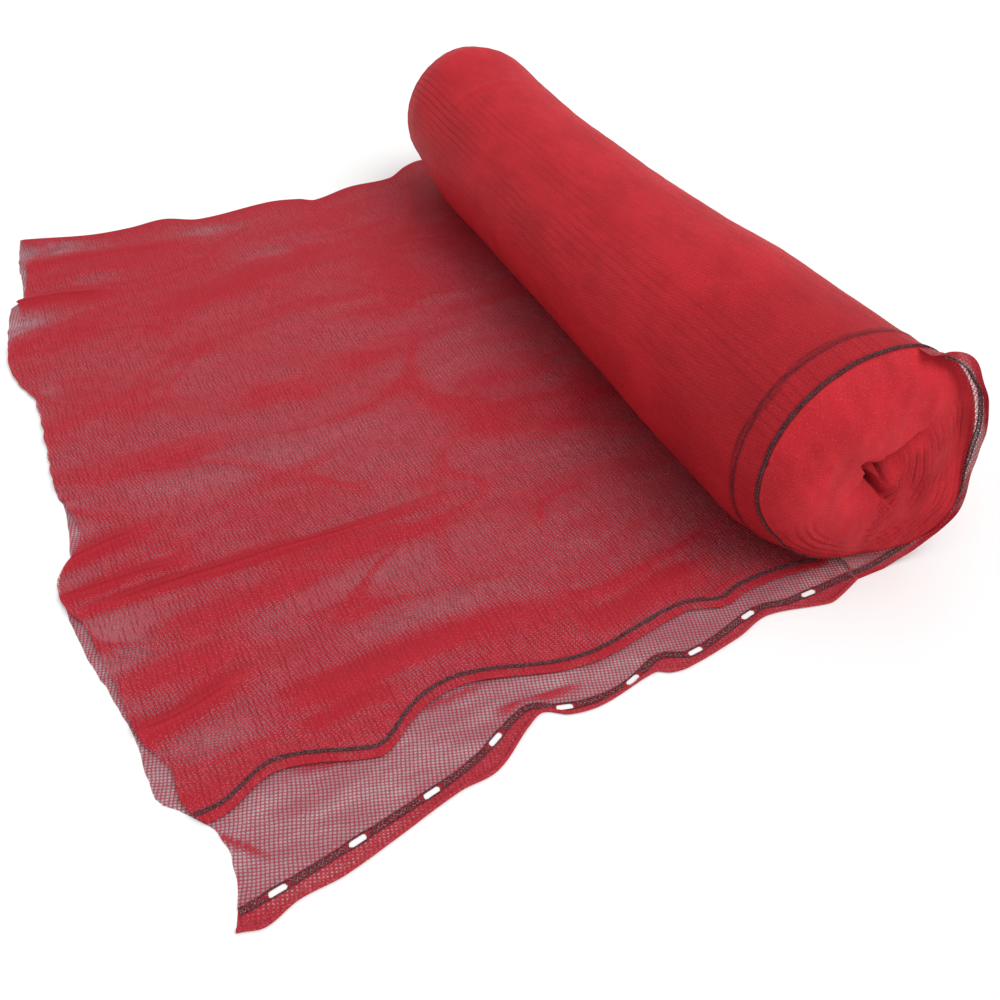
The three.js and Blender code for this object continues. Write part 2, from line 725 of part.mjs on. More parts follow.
function collar() {
  const rows = 5;
  const point = (i, j) => {
    const share = 1 - i / (COLLAR_COLUMNS - 1);
    const { band, edge } = collarLines(share);
    const inner = band - BAND_WIDTH / 2;
    const out = [edge, inner + BAND_WIDTH, inner, inner / 2, 0][j];
    return collarPoint(share, out);
  };
  return clothGeometry(COLLAR_COLUMNS, rows, point);
}

// The height at which a band rests: on the highest of the cloth within BAND_SEAT of it
function seated(height) {
  const near = [-BAND_SEAT, 0, BAND_SEAT];
  return (x, along) =>
    Math.max(...near.flatMap((dx) => near.map((dy) => height(x + dx, along + dy / 2))));
}

// Bands of dark yarn on the loose end: one near the upper layer's edge, and the one with the
// eyelets, which widens round each of them
function upperBand() {
  const line = upperBandAlong;
  const height = seated(upperTop);
  const cutAlong = line(NEAR_CUT_X);
  const fromX = cutX(cutAlong) + upperSetback(cutAlong) + BAND_STOPS;
  const top = upperTop(NEAR_ROLL_X, 0) + REST_GAP + BAND_THICKNESS;
  const toX = rollFoot(line(NEAR_ROLL_X), top) - BAND_STOPS;
  const width = () => BAND_WIDTH;
  return flatBand(34, line, height, fromX, toX, width);
}

function lowerBand() {
  const line = lowerBandAlong;
  const fromX = cutX(line(NEAR_CUT_X)) + BAND_STOPS;
  const height = () => CLOTH;
  const width = (x) => {
    const past = (x - FIRST_EYELET_X + 1.5 * EYELET_PITCH) % EYELET_PITCH;
    const fromEyelet = Math.abs(past - EYELET_PITCH / 2);
    const wide = EYELET_WIDTH + 2 * EYELET_RIM;
    return BAND_WIDTH + (wide - BAND_WIDTH) * smooth((EYELET_LENGTH / 2 + EYELET_RUN_IN - fromEyelet) / EYELET_RUN_IN);
  };
  return cutEyelets(flatBand(72, line, height, fromX, STRIP_END_X - BAND_STOPS, width));
}

// The same band along the collar, on the face that looks in at the roll's end
function collarBand() {
  const depth = CLOTH + ROUND_GAP + BAND_THICKNESS;
  const point = (i, j) => {
    const share = i / (COLLAR_COLUMNS - 1);
    const { band } = collarLines(share);
    return behindCollar(share, band + (0.5 - j) * BAND_WIDTH, depth);
  };
  return clothGeometry(COLLAR_COLUMNS, 2, point, BAND_THICKNESS);
}

// And round the front of the roll's end, on the outermost turn, down to the surface again
const RIM_BAND = { from: 84, to: 262, inward: 1 };
function rimBand() {
  const columns = 30;
  const point = (i, j) => {
    const degrees = RIM_BAND.from + ((RIM_BAND.to - RIM_BAND.from) * i) / (columns - 1);
    const angle = THREE.MathUtils.degToRad(degrees);
    const along = rimAlong(angle) + RIM_BAND.inward + (1 - j) * BAND_WIDTH;
    return turnPoint(angle, along, -ROUND_GAP - BAND_THICKNESS);
  };
  return clothGeometry(columns, 2, point, BAND_THICKNESS);
}

function netMaterial(color, roughness) {
  return new THREE.MeshStandardMaterial({ color, roughness, metalness: 0, side: THREE.FrontSide });
}
const rolledNet = netMaterial(0xb2303a, 0.7);
const sheerNet = netMaterial(0xa96a76, 0.75);
const doubledNet = netMaterial(0xae3f4a, 0.75);
const darkYarn = netMaterial(0x4f3334, 0.85);

function add(group, name, geometry, material) {
  const mesh = new THREE.Mesh(geometry, material);
  mesh.name = name;
  group.add(mesh);
}

const part = new THREE.Group();
add(part, "wound_roll", woundRoll(), rolledNet);
add(part, "loose_end", looseEnd(), doubledNet);
add(part, "eyelet_strip", eyeletStrip(), sheerNet);
add(part, "collar_strip", collar(), sheerNet);
add(part, "upper_band", upperBand(), darkYarn);
add(part, "lower_band", lowerBand(), darkYarn);
add(part, "collar_band", collarBand(), darkYarn);
add(part, "rim_band", rimBand(), darkYarn);

export default part;
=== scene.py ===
import math

import bmesh
import bpy
import numpy as np
from mathutils import Matrix, Vector


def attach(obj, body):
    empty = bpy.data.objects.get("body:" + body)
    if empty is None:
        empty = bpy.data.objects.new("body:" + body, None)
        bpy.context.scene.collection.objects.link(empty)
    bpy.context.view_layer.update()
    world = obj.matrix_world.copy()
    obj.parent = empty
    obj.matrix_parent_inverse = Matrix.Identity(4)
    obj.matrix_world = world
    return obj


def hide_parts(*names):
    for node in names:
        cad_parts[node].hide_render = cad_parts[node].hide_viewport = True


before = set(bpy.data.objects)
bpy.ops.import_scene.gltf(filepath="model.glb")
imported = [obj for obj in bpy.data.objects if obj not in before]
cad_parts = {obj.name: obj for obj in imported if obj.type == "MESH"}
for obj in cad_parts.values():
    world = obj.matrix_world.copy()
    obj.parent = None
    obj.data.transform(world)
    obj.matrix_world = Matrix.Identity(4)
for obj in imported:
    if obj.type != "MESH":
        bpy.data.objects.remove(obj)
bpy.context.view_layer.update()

MM = 0.001


def table(names, *rows):
    """Rows of values as dictionaries, with the same names in each."""
    return [dict(zip(names.split(), row)) for row in rows]


# The net
FOLDED_WIDTH = 1430
SELVEDGE_Y = -FOLDED_WIDTH / 2
LOWER_LEVEL = 0.8  # middle of the lower layer above the surface, where it lies flat
UPPER_LEVEL = 3.6  # and of the upper layer
WALE_PITCH = 5.1  # between the chain stitches
COURSE_PITCH = 4.29  # between the yarns laid across them
RIB_PITCH = 13.6  # the layers' stitches fall together in ribs this far apart
WALE_ANGLE = math.radians(164)  # which way each family's pitch runs, in the lower layer
COURSE_ANGLE = math.radians(72)

# The bands and eyelets
BAND_WIDTH = 9.5
EYELET_PITCH = 100
EYELET_LENGTH = 22
EYELET_WIDTH = 8
EYELET_COUNT = 9
FIRST_EYELET_X = -880
STRIP_SEAM = 5.5  # from the band's middle line to where the strip joins the lower layer

# The roll's rim, as in the frame
RIM_TILT = {"middle": 4, "top": 20, "side": 4}
ROLL_END = 1325
FLAT_SINK = 5

UPPER_HEM = 15  # from the upper band's middle line to the hem's edge
UNDER_RIM = 34  # how much further the upper layer shows under the drawn-in rim
FOLD_OPENS = 24  # how far from the fold the layers are their full distance apart
NEAR_ZONE = 480  # this near the selvedge end the folds are drawn in more rows
SEAM_ZONE = 120  # and this near the strip's seam, in the lower layer
RIM_SHOULDER = 6  # the step in from the outermost turn to the turns inside it, beside the collar
FRONT_SHOULDER = 1.5  # and at the front
TURNED_IN_BAND = 48  # from the rim to the upper layer's band, wound one layer down
BAND_RELIEF = 1.6
TURN_EDGE_STEP = 11  # between the turns' edges that show on the end
DRAW_REACH = 110  # how far in from the rim the outermost turn is drawn in
FOLD_DRAW_REACH = 220  # and from the far end
UNDER_END_X = 58  # how far the layers run on under the roll's far end, which is drawn in
UNDER_END_FROM = -215
UNDER_END_OVER = 200
UNDER_ROLL_X = -47
COLLAR_START_X = 7
COLLAR_OPENS_OVER = 40
RIM_BAND = {"from": 50, "to": 262, "inward": -0.5}  # where yarn shows round the rim, in degrees

CUT_END = table(
    "x along",
    (-966, 1487), (-981, 1375), (-989, 1233), (-1013, 1216), (-1037, 1026), (-1026, 944),
    (-1006, 881), (-1010, 621), (-1002, 592), (-1013, 468), (-1033, 430), (-1020, 287), (-985, 122),
    (-977, 19), (-945, -18), (-919, -68), (-920, -131), (-936, -184),
)
FOLD_EDGE = table(
    "x along",
    (-1040, 1486), (-964, 1479), (-830, 1438), (-747, 1432), (-671, 1439), (-602, 1406),
    (-442, 1416), (-377, 1400), (-348, 1381), (-256, 1407), (-158, 1409), (-106, 1447), (-62, 1464),
    (-20, 1448), (14, 1420), (40, 1380), (60, 1345),
)
UPPER_BAND = table(
    "x along",
    (-1040, -24), (-942, -22), (-906, -18), (-837, 10), (-720, -23), (-698, -17), (-664, 8),
    (-628, 25), (-576, 30), (-454, -4), (-397, -9), (-257, 12), (-198, -2), (-161, 7), (-91, 8),
    (0, -4),
)
LOWER_BAND = table(
    "x along",
    (-1040, -162), (-925, -156), (-725, -120), (-617, -93), (-537, -54), (-515, -52), (-483, -69),
    (-434, -77), (-388, -73), (-330, -53), (-285, -66), (-160, -40), (-114, -47), (0, -44),
)
LOWER_EDGE = table(
    "x along",
    (-1040, -178), (-936, -177), (-903, -184), (-862, -170), (-802, -164), (-650, -124),
    (-595, -117), (-534, -77), (-508, -66), (-479, -83), (-434, -88), (-347, -73), (-329, -82),
    (-303, -85), (-214, -71), (-156, -56), (-65, -75), (-46, -72), (0, -56),
)
# How far the upper layer's cut end stands back from the lower layer's
UPPER_SETBACK = table(
    "along back",
    (-40, 0), (-12, 2), (18, 24), (60, 26), (110, 4), (220, 12), (330, 14), (370, 0), (440, 0),
    (520, 16), (600, 2), (1060, 0), (1130, 16), (1205, 18), (1230, 4), (1300, 10), (1400, 18),
    (1450, 8),
)
# The folds that stand up in the upper layer. closed says how far the net closes up there,
# because it lies over itself.
UPPER_FOLDS = table(
    "x1 along1 x2 along2 width height closed",
    (-1000, 1362, -640, 1330, 20, 11, 0.6), (-1045, 1228, -800, 1180, 22, 13, 0.8),
    (-960, 1290, -700, 1300, 26, 7, 0.4), (-1045, 1060, -820, 1085, 30, 8, 0.4),
    (-760, 1090, -420, 1150, 34, 6, 0.4), (-1030, 790, -760, 840, 32, 7, 0.3),
    (-700, 720, -360, 780, 36, 6, 0.3), (-1040, 640, -700, 650, 26, 7, 0.3),
    (-1045, 462, -880, 486, 18, 12, 0.8), (-1045, 398, -840, 392, 12, 11, 1.0),
    (-1020, 356, -440, 352, 14, 13, 1.0), (-760, 322, -480, 310, 20, 8, 0.5),
    (-930, 258, -660, 296, 24, 7, 0.5), (-1000, 200, -800, 214, 24, 8, 0.5),
    (-990, 128, -820, 146, 22, 14, 1.0), (-800, 84, -440, 102, 22, 10, 0.7),
    (-800, 40, -640, 48, 15, 7, 0.7), (-420, 40, -160, 52, 20, 6, 0.6),
)
# Where the knit of the upper layer is pulled open
PALE_PATCHES = table(
    "x along reach_x reach_along open",
    (-965, 1408, 130, 50, 0.95), (-1030, 1135, 100, 58, 0.8), (-860, 1262, 60, 24, 0.46),
    (-600, 1345, 90, 34, 0.5), (-500, 1200, 80, 40, 0.42), (-1000, 900, 50, 40, 0.24),
    (-1030, 560, 40, 60, 0.3), (-1000, 270, 90, 80, 0.22), (-900, 60, 50, 30, 0.18),
    (-560, 150, 120, 22, 0.12), (-700, 560, 190, 60, 0.08), (-620, 250, 150, 36, 0.1),
)
# The pleat and the small creases in the lower layer, beside the strip with the eyelets
LOWER_FOLDS = table(
    "x1 along1 x2 along2 width height closed",
    (-560, -40, -440, -50, 6, 7, 0.7), (-925, -54, -876, -108, 3.4, 3, 0.7),
    (-812, -16, -706, -24, 4, 3, 0.55), (-645, 6, -545, 6, 4, 3, 0.55),
)
# The collar: the lower layer's selvedge, carried round the hidden side of the roll
COLLAR = table(
    "angle band hem flare",
    (-90, 43, 12, 0), (-70, 42, 13, 1), (-50, 45, 14, 2), (-30, 48, 14, 3), (-10, 32, 12, 2),
    (10, 28, 13, 3), (30, 26, 14, 6), (40, 22, 15, 9), (48, 16, 17, 12), (55, 9, 17, 13),
    (61, 3, 11, 12), (65, 0.8, 4, 11), (69, 0.3, 0.4, 9),
)
COLLAR_BAND_END = 62  # the angle where the collar's yarn ends
HEM_TURNS = {"from": 28, "over": 24, "share": 0.9}  # where the collar's hem turns up and out

ROLL_RADII = table(
    "along radius",
    (0, 172), (100, 172), (200, 170), (350, 168), (500, 160), (700, 155), (950, 152), (1180, 154),
    (1270, 155), (1325, 148),
)
# The selvedge end, from the eye to the rim: how far the turns stand out past the rim
SELVEDGE_END = table(
    "share out",
    (0.0, 30), (0.17, 32), (0.35, 36), (0.45, 37), (0.56, 37), (0.67, 34), (0.78, 29), (0.87, 21),
    (0.94, 11), (1.0, 0),
)
# The folded end, from the last turn to the middle
FOLDED_END = table(
    "share out",
    (0.95, 14), (0.85, 30), (0.68, 44), (0.45, 53), (0.2, 50),
)
FAR_STEPS = [0, 0.12, 0.28, 0.46, 0.68, 0.86, 1]
# How far the outermost turn is drawn in, round the rim and round the far end
RIM_DRAW = table(
    "angle draw",
    (-180, 16), (-150, 28), (-120, 22), (-90, 12), (-60, 5), (0, 3), (30, 2), (55, -11), (70, -7),
    (92, 6), (135, 12), (180, 16),
)
FOLD_DRAW = table(
    "angle draw",
    (-180, 16), (-150, 22), (-120, 14), (-90, 2), (0, 0), (60, -8), (100, -9), (140, 2), (180, 16),
)
# The creases that meet at the eye, across the end's face
EYE_CREASES = table(
    "x1 z1 x2 z2 steep gentle side depth",
    (-13, 13, 56, 60, 2.5, 26, -1, 46), (-13, 13, 22, -34, 2.5, 13, 1, 40),
    (12, 24, 22, -12, 2.5, 8, 1, 30),
)
GENTLE_SHADE, STEEP_SHADE = 11, 3  # how far the dark of a crease's bottom reaches up its sides
# Soft creases across the outermost turn: where they cross the front, which way they run
TURN_FOLDS = table(
    "angle along slope reach width height",
    (116, 258, 1.2, 19, 6, 2.8), (108, 285, 1.3, 16, 9, -1.6), (104, 1120, 0.5, 26, 9, 2.8),
    (150, 640, -1.6, 16, 9, 1.4),
)


def through(rows, given, wanted):
    """A smooth line through a table's rows: rows[i][given] gives rows[i][wanted]."""
    rows = sorted(rows, key=lambda row: row[given])
    xs = np.array([row[given] for row in rows], float)
    ys = np.array([row[wanted] for row in rows], float)
    before = np.maximum(np.arange(len(xs)) - 1, 0)
    after = np.minimum(np.arange(len(xs)) + 1, len(xs) - 1)
    slopes = (ys[after] - ys[before]) / (xs[after] - xs[before])

    def at(value):
        v = np.clip(value, xs[0], xs[-1])
        i = np.clip(np.searchsorted(xs, v, side="left") - 1, 0, len(xs) - 2)
        span = xs[i + 1] - xs[i]
        t = (v - xs[i]) / span
        return (
            ys[i] * (1 + 2 * t) * (1 - t) ** 2
            + slopes[i] * span * t * (1 - t) ** 2
            + ys[i + 1] * t * t * (3 - 2 * t)
            + slopes[i + 1] * span * t * t * (t - 1)
        )

    return at


cut_x = through(CUT_END, "along", "x")
fold_along = through(FOLD_EDGE, "x", "along")
upper_band_along = through(UPPER_BAND, "x", "along")
lower_band_along = through(LOWER_BAND, "x", "along")
lower_edge_along = through(LOWER_EDGE, "x", "along")
upper_setback = through(UPPER_SETBACK, "along", "back")
collar_band_out = through(COLLAR, "angle", "band")
collar_hem = through(COLLAR, "angle", "hem")
collar_flare = through(COLLAR, "angle", "flare")
roll_radius = through(ROLL_RADII, "along", "radius")
face_out = through(SELVEDGE_END, "share", "out")
rim_draw = through(RIM_DRAW, "angle", "draw")
fold_draw = through(FOLD_DRAW, "angle", "draw")


def smooth(t):
    s = np.clip(t, 0, 1)
    return s * s * (3 - 2 * s)


def bell(t, power=2):
    """1 where t is 0, and falling off on both sides of it."""
    return np.exp(-(t**power))


def signed_degrees(angle):
    """An angle in degrees, from -180 to 180."""
    return np.degrees(np.arctan2(np.sin(angle), np.cos(angle)))


WAVE_COUNT = 9


def waves(x, y, size, seed, stretch=1.0):
    """Soft unevenness from about -1 to 1, with lumps of about a size, longer along x by stretch."""
    rng = np.random.default_rng(seed)
    total = 0
    for _ in range(WAVE_COUNT):
        turn = rng.uniform(0, 2 * math.pi)
        length = size * rng.uniform(0.7, 1.5)
        phase = rng.uniform(0, 7)
        run = x * math.cos(turn) / stretch + y * math.sin(turn)
        total = total + np.cos(2 * math.pi * run / length + phase)
    return total / 4


def fold_shape(folds, x, along):
    """What folds do at places of the net: how high they lift it, how far they close it, and how
    far they carry it aside, where it lies over itself."""
    height, closed, shift = (np.zeros(np.shape(x)) for _ in range(3))
    for n, fold in enumerate(folds):
        run = np.array([fold["x2"] - fold["x1"], fold["along2"] - fold["along1"]], float)
        length = math.hypot(*run)
        to_x, to_along = x - fold["x1"], along - fold["along1"]
        share = (to_x * run[0] + to_along * run[1]) / length**2
        bend = 0.3 * fold["width"] * waves(share * length, 0 * share, 190, 40 + n)
        aside = ((to_along * run[0] - to_x * run[1]) / length + bend) / fold["width"]
        fade = smooth((share + 0.12) / 0.3) * smooth((1.12 - share) / 0.5)
        if fold["closed"] > 0.75:
            rise = smooth((aside + 0.7) / 1.0) * (1 - smooth((aside - 0.3) / 0.9))
            turned = np.clip(aside, -1, 1)
            shift -= 0.28 * fold["width"] * fade * np.sin(math.pi * turned)
        else:
            rise = bell(aside)
        height += 0.6 * fold["height"] * fade * rise
        frayed = aside + 0.35 * waves(x, along, 60, 90 + n, stretch=2.5)
        closed = np.maximum(closed, fold["closed"] * fade * bell(frayed / 1.15, 4))
    return height, closed, shift


def streaks(x, along, size, seed):
    """Soft narrow creases that wander along x, from 0 to 1."""
    line = waves(x, along, size, seed, stretch=3.2)
    strong = smooth(waves(x, along, 1.6 * size, seed + 1, stretch=1.5) + 0.45)
    return bell(line / 0.085) * strong


def pale_patches(x, along):
    """How far the knit is pulled open in patches along the cut end, where it looks paler."""
    total = np.zeros(np.shape(x))
    for patch in PALE_PATCHES:
        away_x = (x - patch["x"]) / patch["reach_x"]
        away_along = (along - patch["along"]) / patch["reach_along"]
        total += patch["open"] * np.exp(-(away_x**2) - away_along**2)
    return total


def beside(line, by):
    """The line that runs a distance from another."""
    return lambda x: line(x) + by


def between(first, second, share):
    """The line at a share of the way from one to another."""
    return lambda x: first(x) * (1 - share) + second(x) * share


def on_line(shares, line, start, end):
    """Places at shares of the way across the net, on a line that may itself wander with x."""
    x = np.full(len(shares), -500.0)
    for _ in range(9):
        along = line(x)
        x = start(along) * (1 - shares) + end(along) * shares
    return x, line(x)


# Colours and materials

NET = {
    "red": "#C92B38",
    "deep": "#96212D",
    "glint": "#EC929C",
    "dense": "#901F2B",
    "light_through_holes": "#E29AA4",
    "light_through_pulled_knit": "#C47E87",
    "rib": "#8C1B27",
    "folded": "#A21F2B",
    "alone": "#8A4E5A",
    "painted_ground_shade": "#A98E98",
}
WOUND = {
    "red": "#C22730",
    "shaded_layer_below": "#8F1B26",
    "shaded_two_layers_below": "#5E141C",
    "mottle": "#961922",
    "dense": "#8A1821",
    "glint": "#E8808A",
    "rib": "#6E151E",
    "band_below": "#451A20",
    "painted_end_shade": "#560D14",
}
YARN = {"dark": "#3C2528", "tinged": "#6A2730", "grey": "#B39BA0"}
FLOOR = {"white": "#F7F7F7", "grain": "#F4F4F4"}
SHEEN = 0.1  # polyethylene tape is dull once knitted


def linear(hex_colour):
    """An sRGB hex value as linear RGBA."""
    parts = [int(hex_colour[i : i + 2], 16) / 255 for i in (1, 3, 5)]
    return [p / 12.92 if p <= 0.04045 else ((p + 0.055) / 1.055) ** 2.4 for p in parts] + [1.0]


def feed(node, inputs):
    """Fills a node's inputs, given as pairs of a number or name and a socket or value."""
    for to, value in inputs:
        value = value.socket if isinstance(value, Field) else value
        if isinstance(value, bpy.types.NodeSocket):
            node.id_data.links.new(value, node.inputs[to])
        else:
            node.inputs[to].default_value = value


def put(tree, kind, inputs=(), **properties):
    """Adds a node with its properties and inputs, and gives its first output."""
    node = tree.nodes.new(kind)
    for key, value in properties.items():
        setattr(node, key, value)
    feed(node, inputs)
    return node.outputs[0]


class Field:
    """A number that varies over a surface. Its sums are Math nodes."""

    def __init__(self, tree, socket):
        self.tree, self.socket = tree, socket

    def calc(self, operation, *values):
        return Field(self.tree, put(self.tree, "ShaderNodeMath", enumerate(values), operation=operation))

    def __add__(self, other):
        return self.calc("ADD", self, other)

    def __sub__(self, other):
        return self.calc("SUBTRACT", self, other)

    def __rsub__(self, other):
        return self.calc("SUBTRACT", other, self)

    def __mul__(self, other):
        return self.calc("MULTIPLY", self, other)

    def cosine(self):
        return self.calc("COSINE", self)

    def at_least(self, other):
        return self.calc("MAXIMUM", self, other)

    def at_most(self, other):
        return self.calc("MINIMUM", self, other)

    def ramp(self, low, high):
        """0 below low and 1 above high, smooth between."""
        inputs = [(0, self), (1, low), (2, high)]
        smoothed = put(self.tree, "ShaderNodeMapRange", inputs, interpolation_type="SMOOTHSTEP")
        return Field(self.tree, smoothed)


class Paint:
    """A material in the making: a colour, and what is laid over it."""

    def __init__(self, name, colour):
        self.material = bpy.data.materials.new(name)
        self.material.use_nodes = True
        self.tree = self.material.node_tree
        self.shader = self.tree.nodes["Principled BSDF"]
        self.colour = linear(colour)

    def on_cloth(self):
        """The place on the cloth, in metres."""
        return put(self.tree, "ShaderNodeUVMap", uv_map="cloth")

    def on_object(self):
        return put(self.tree, "ShaderNodeTexCoord").node.outputs["Object"]

    def vector(self, operation, a, b):
        return put(self.tree, "ShaderNodeVectorMath", [(0, a), (1, b)], operation=operation)

    def stretched(self, place, along_x, along_y):
        """A place scaled for noise whose lumps are longer one way."""
        return self.vector("MULTIPLY", place, (along_x, along_y, 0.0))

    def painted(self, name):
        """A value that the mesh carries at its points."""
        carried = put(self.tree, "ShaderNodeAttribute", attribute_name=name)
        return Field(self.tree, carried.node.outputs["Fac"])

    def noise(self, place, scale, detail=2.0, roughness=0.5):
        inputs = [("Vector", place), ("Scale", scale), ("Detail", detail), ("Roughness", roughness)]
        return Field(self.tree, put(self.tree, "ShaderNodeTexNoise", inputs))

    def wandering(self, share):
        """The place on the cloth, where the stitches wander a little as knitted net does."""
        place = self.on_cloth()
        drift = self.noise(place, 12.0, 3.0).socket.node.outputs["Color"]
        centred = self.vector("SUBTRACT", drift, (0.5, 0.5, 0.5))
        return self.vector("ADD", place, self.vector("MULTIPLY", centred, (share, share, 0.0)))

    def phase(self, cloth, angle, pitch, mirror=1):
        """How far a place on the cloth is across one family of yarns, as an angle."""
        turns = 2 * math.pi / (pitch * MM)
        across = (turns * math.cos(angle), turns * math.sin(angle) * mirror, 0.0)
        return Field(self.tree, self.vector("DOT_PRODUCT", cloth, across).node.outputs["Value"])

    def stitches(self, cloth, mirror=1):
        """The knit at each place of the cloth: 1 in the middle of a mesh hole, 0 on yarn."""
        wales = self.phase(cloth, WALE_ANGLE, WALE_PITCH, mirror).cosine() * 0.5 + 0.5
        courses = self.phase(cloth, COURSE_ANGLE, COURSE_PITCH, mirror).cosine() * 0.5 + 0.5
        return wales * courses

    def coat(self, share, colour):
        """Lays a colour over the colour so far."""
        inputs = [(0, share), (6, self.colour), (7, linear(colour))]
        self.colour = put(self.tree, "ShaderNodeMix", inputs, data_type="RGBA").node.outputs[2]

    def finish(self, roughness, specular=SHEEN, alpha=1.0, relief=None, strength=1.0, depth=0.0006):
        """Hands the colour and the rest to the shader. relief is bump of a depth in metres."""
        feed(self.shader, [("Base Color", self.colour), ("Roughness", roughness)])
        feed(self.shader, [("Specular IOR Level", specular), ("Alpha", alpha)])
        if relief is not None:
            inputs = [("Height", relief), ("Strength", strength), ("Distance", depth)]
            feed(self.shader, [("Normal", put(self.tree, "ShaderNodeBump", inputs))])
        return self.material


def knitted_net():
    """Knitted high-density polyethylene net: thin flat red tapes in open stitches, each hole
    crossed by a thin laid-in yarn. The eye sees the surface behind through the holes, a paler
    red where one layer lies on a pale floor, with the ground's shade painted grey in its holes,
    and fine ribs and painted pink light through the holes where two layers cross, with painted
    pink glints. The stitches have their real spacing."""
    paint = Paint("knitted_polyethylene_net", NET["red"])
    place, cloth = paint.on_cloth(), paint.wandering(0.010)
    hole = paint.stitches(cloth)
    patches = paint.noise(paint.stretched(place, 5.0, 15.0), 1.0, 4.0, 0.62).ramp(0.36, 0.66)
    flecks = paint.noise(paint.stretched(place, 90.0, 210.0), 1.0)
    closed, haze_and_ground_shade, upper_layer = (paint.painted(name) for name in ("closed", "haze_and_ground_shade", "ribbed"))
    # where the knit is pulled open or pushed together, the holes' edges move
    edge = flecks * -0.4 + 0.4 + closed - haze_and_ground_shade * 0.1
    opened = hole.ramp(edge, edge + 0.25)
    wave = paint.phase(cloth, 0.0, RIB_PITCH / 2).cosine()
    broken = paint.noise(paint.stretched(place, 130.0, 30.0), 1.0).ramp(0.35, 0.6)
    ribs = wave.ramp(-0.2, 1.0) * broken * upper_layer
    # fine yarns cross each hole, too thin to draw: they take part of the light there, more where
    # the knit is dense, and in a single layer the holes are filled part way, for the painted grey shade
    # of the ground seen through them
    clear = patches * 0.38 + 0.3 - closed * 0.7 - ribs * 0.35
    clear = (clear * (haze_and_ground_shade * -0.5 + 1.0)).at_most(0.75)
    yarn = patches * -0.16 + 0.95 + closed * 0.2
    solid = (yarn - opened * clear).at_most(1.0).at_least(0.05)
    paint.coat(paint.noise(cloth, 420.0), NET["deep"])
    paint.coat(paint.noise(place, 480.0, 1.0).ramp(0.58, 0.68) * 0.42, NET["glint"])
    paint.coat(patches * -0.34 + 0.34, NET["dense"])
    # painted light: where two layers' holes lie one over the other, the light coming through is painted
    # pink, more so where the knit is pulled open and less where it is pushed together
    pulled = (closed * -2.4).at_least(0.0)
    light_through_share = patches * 0.7 + (pulled * 0.5 + 0.2) - closed.at_least(0.0) * 0.9
    paint.coat(opened * light_through_share.at_least(0.0) * upper_layer, NET["light_through_holes"])
    paint.coat(pulled * 0.6 * upper_layer, NET["light_through_pulled_knit"])
    paint.coat(ribs * 0.75, NET["rib"])
    folded = closed.ramp(0.1, 0.9)
    paint.coat(folded * 0.75, NET["folded"])
    # painted shade: a single layer is painted darker and greyer, and grey in its holes, for the shaded
    # ground seen through it
    alone = haze_and_ground_shade * (1.0 - folded)
    paint.coat(alone * 0.5, NET["alone"])
    paint.coat(alone * (opened * 0.8) * (patches * 0.4 + 0.75), NET["painted_ground_shade"])
    worn = paint.noise(place, 330.0).ramp(0.36, 0.56)
    paint.coat(paint.painted("band") * worn * 0.5, YARN["dark"])
    return paint.finish(0.55, alpha=solid, relief=1.0 - hole, strength=0.5)


def wound_net(part_of_roll, contrast, uneven):
    """The same net in many layers: no light comes through, and the eye sees the layers below as
    darker stitches, which is painted shade, and as ribs along the roll, and the bands of the turns
    below as dark lines. The end's grooves, creases and lower part get painted shade."""
    paint = Paint("wound_polyethylene_net_" + part_of_roll, WOUND["red"])
    place, cloth = paint.on_cloth(), paint.wandering(0.006)
    outer, inner = paint.stitches(cloth), paint.stitches(cloth, mirror=-1)
    through_outer = outer.ramp(0.1, 0.55)
    through_both = through_outer * inner.ramp(0.1, 0.5)
    # painted shade: the layers below, seen through the outer turn's holes, are painted darker
    paint.coat(through_outer * (0.4 * contrast), WOUND["shaded_layer_below"])
    paint.coat(through_both * (0.4 * contrast), WOUND["shaded_two_layers_below"])
    mottle = paint.noise(paint.stretched(place, 16.0, 9.0), 1.0, 5.0, 0.65).ramp(0.35, 0.68)
    paint.coat(mottle * uneven, WOUND["mottle"])
    paint.coat(paint.painted("dense"), WOUND["dense"])
    paint.coat(paint.noise(place, 500.0, 1.0).ramp(0.62, 0.7) * 0.16, WOUND["glint"])
    wave = paint.phase(cloth, 0.0, RIB_PITCH).cosine()
    broken = paint.noise(paint.stretched(place, 14.0, 4.0), 1.0, 3.0).ramp(0.35, 0.6)
    ribs = paint.painted("ribbed") * broken * wave.ramp(0.2, 1.0)
    paint.coat(ribs * 0.42, WOUND["rib"])
    # the band of the turn below shows dark through this one
    speck = paint.noise(place, 280.0).ramp(0.4, 0.6)
    paint.coat(paint.painted("band_below") * (speck * 0.4 + 0.55), WOUND["band_below"])
    # painted shade on the end, in its grooves and creases and towards its bottom
    paint.coat(paint.painted("painted_end_shade") * 0.8, WOUND["painted_end_shade"])
    relief = 1.0 - (outer * 0.6 + through_both) - ribs
    return paint.finish(0.6, relief=relief, strength=0.2 + 0.3 * contrast, depth=0.0010)


def band_yarn():
    """Twisted polyester yarn, grey-brown with nearly black and pale fibres: the eye sees a
    rougher, speckled cord beside the smooth net. The fibres are drawn coarser than real ones,
    which are too fine to show."""
    paint = Paint("twisted_polyester_yarn", YARN["dark"])
    place = paint.on_object()
    fibres = paint.noise(place, 520.0, 3.0, 0.7)
    paint.coat(paint.noise(place, 120.0).ramp(0.35, 0.75) * 0.4 + 0.2, YARN["tinged"])
    paint.coat(fibres.ramp(0.44, 0.62) * (paint.painted("pale") * 0.75 + 0.12), YARN["grey"])
    return paint.finish(0.85, relief=fibres, strength=0.6)


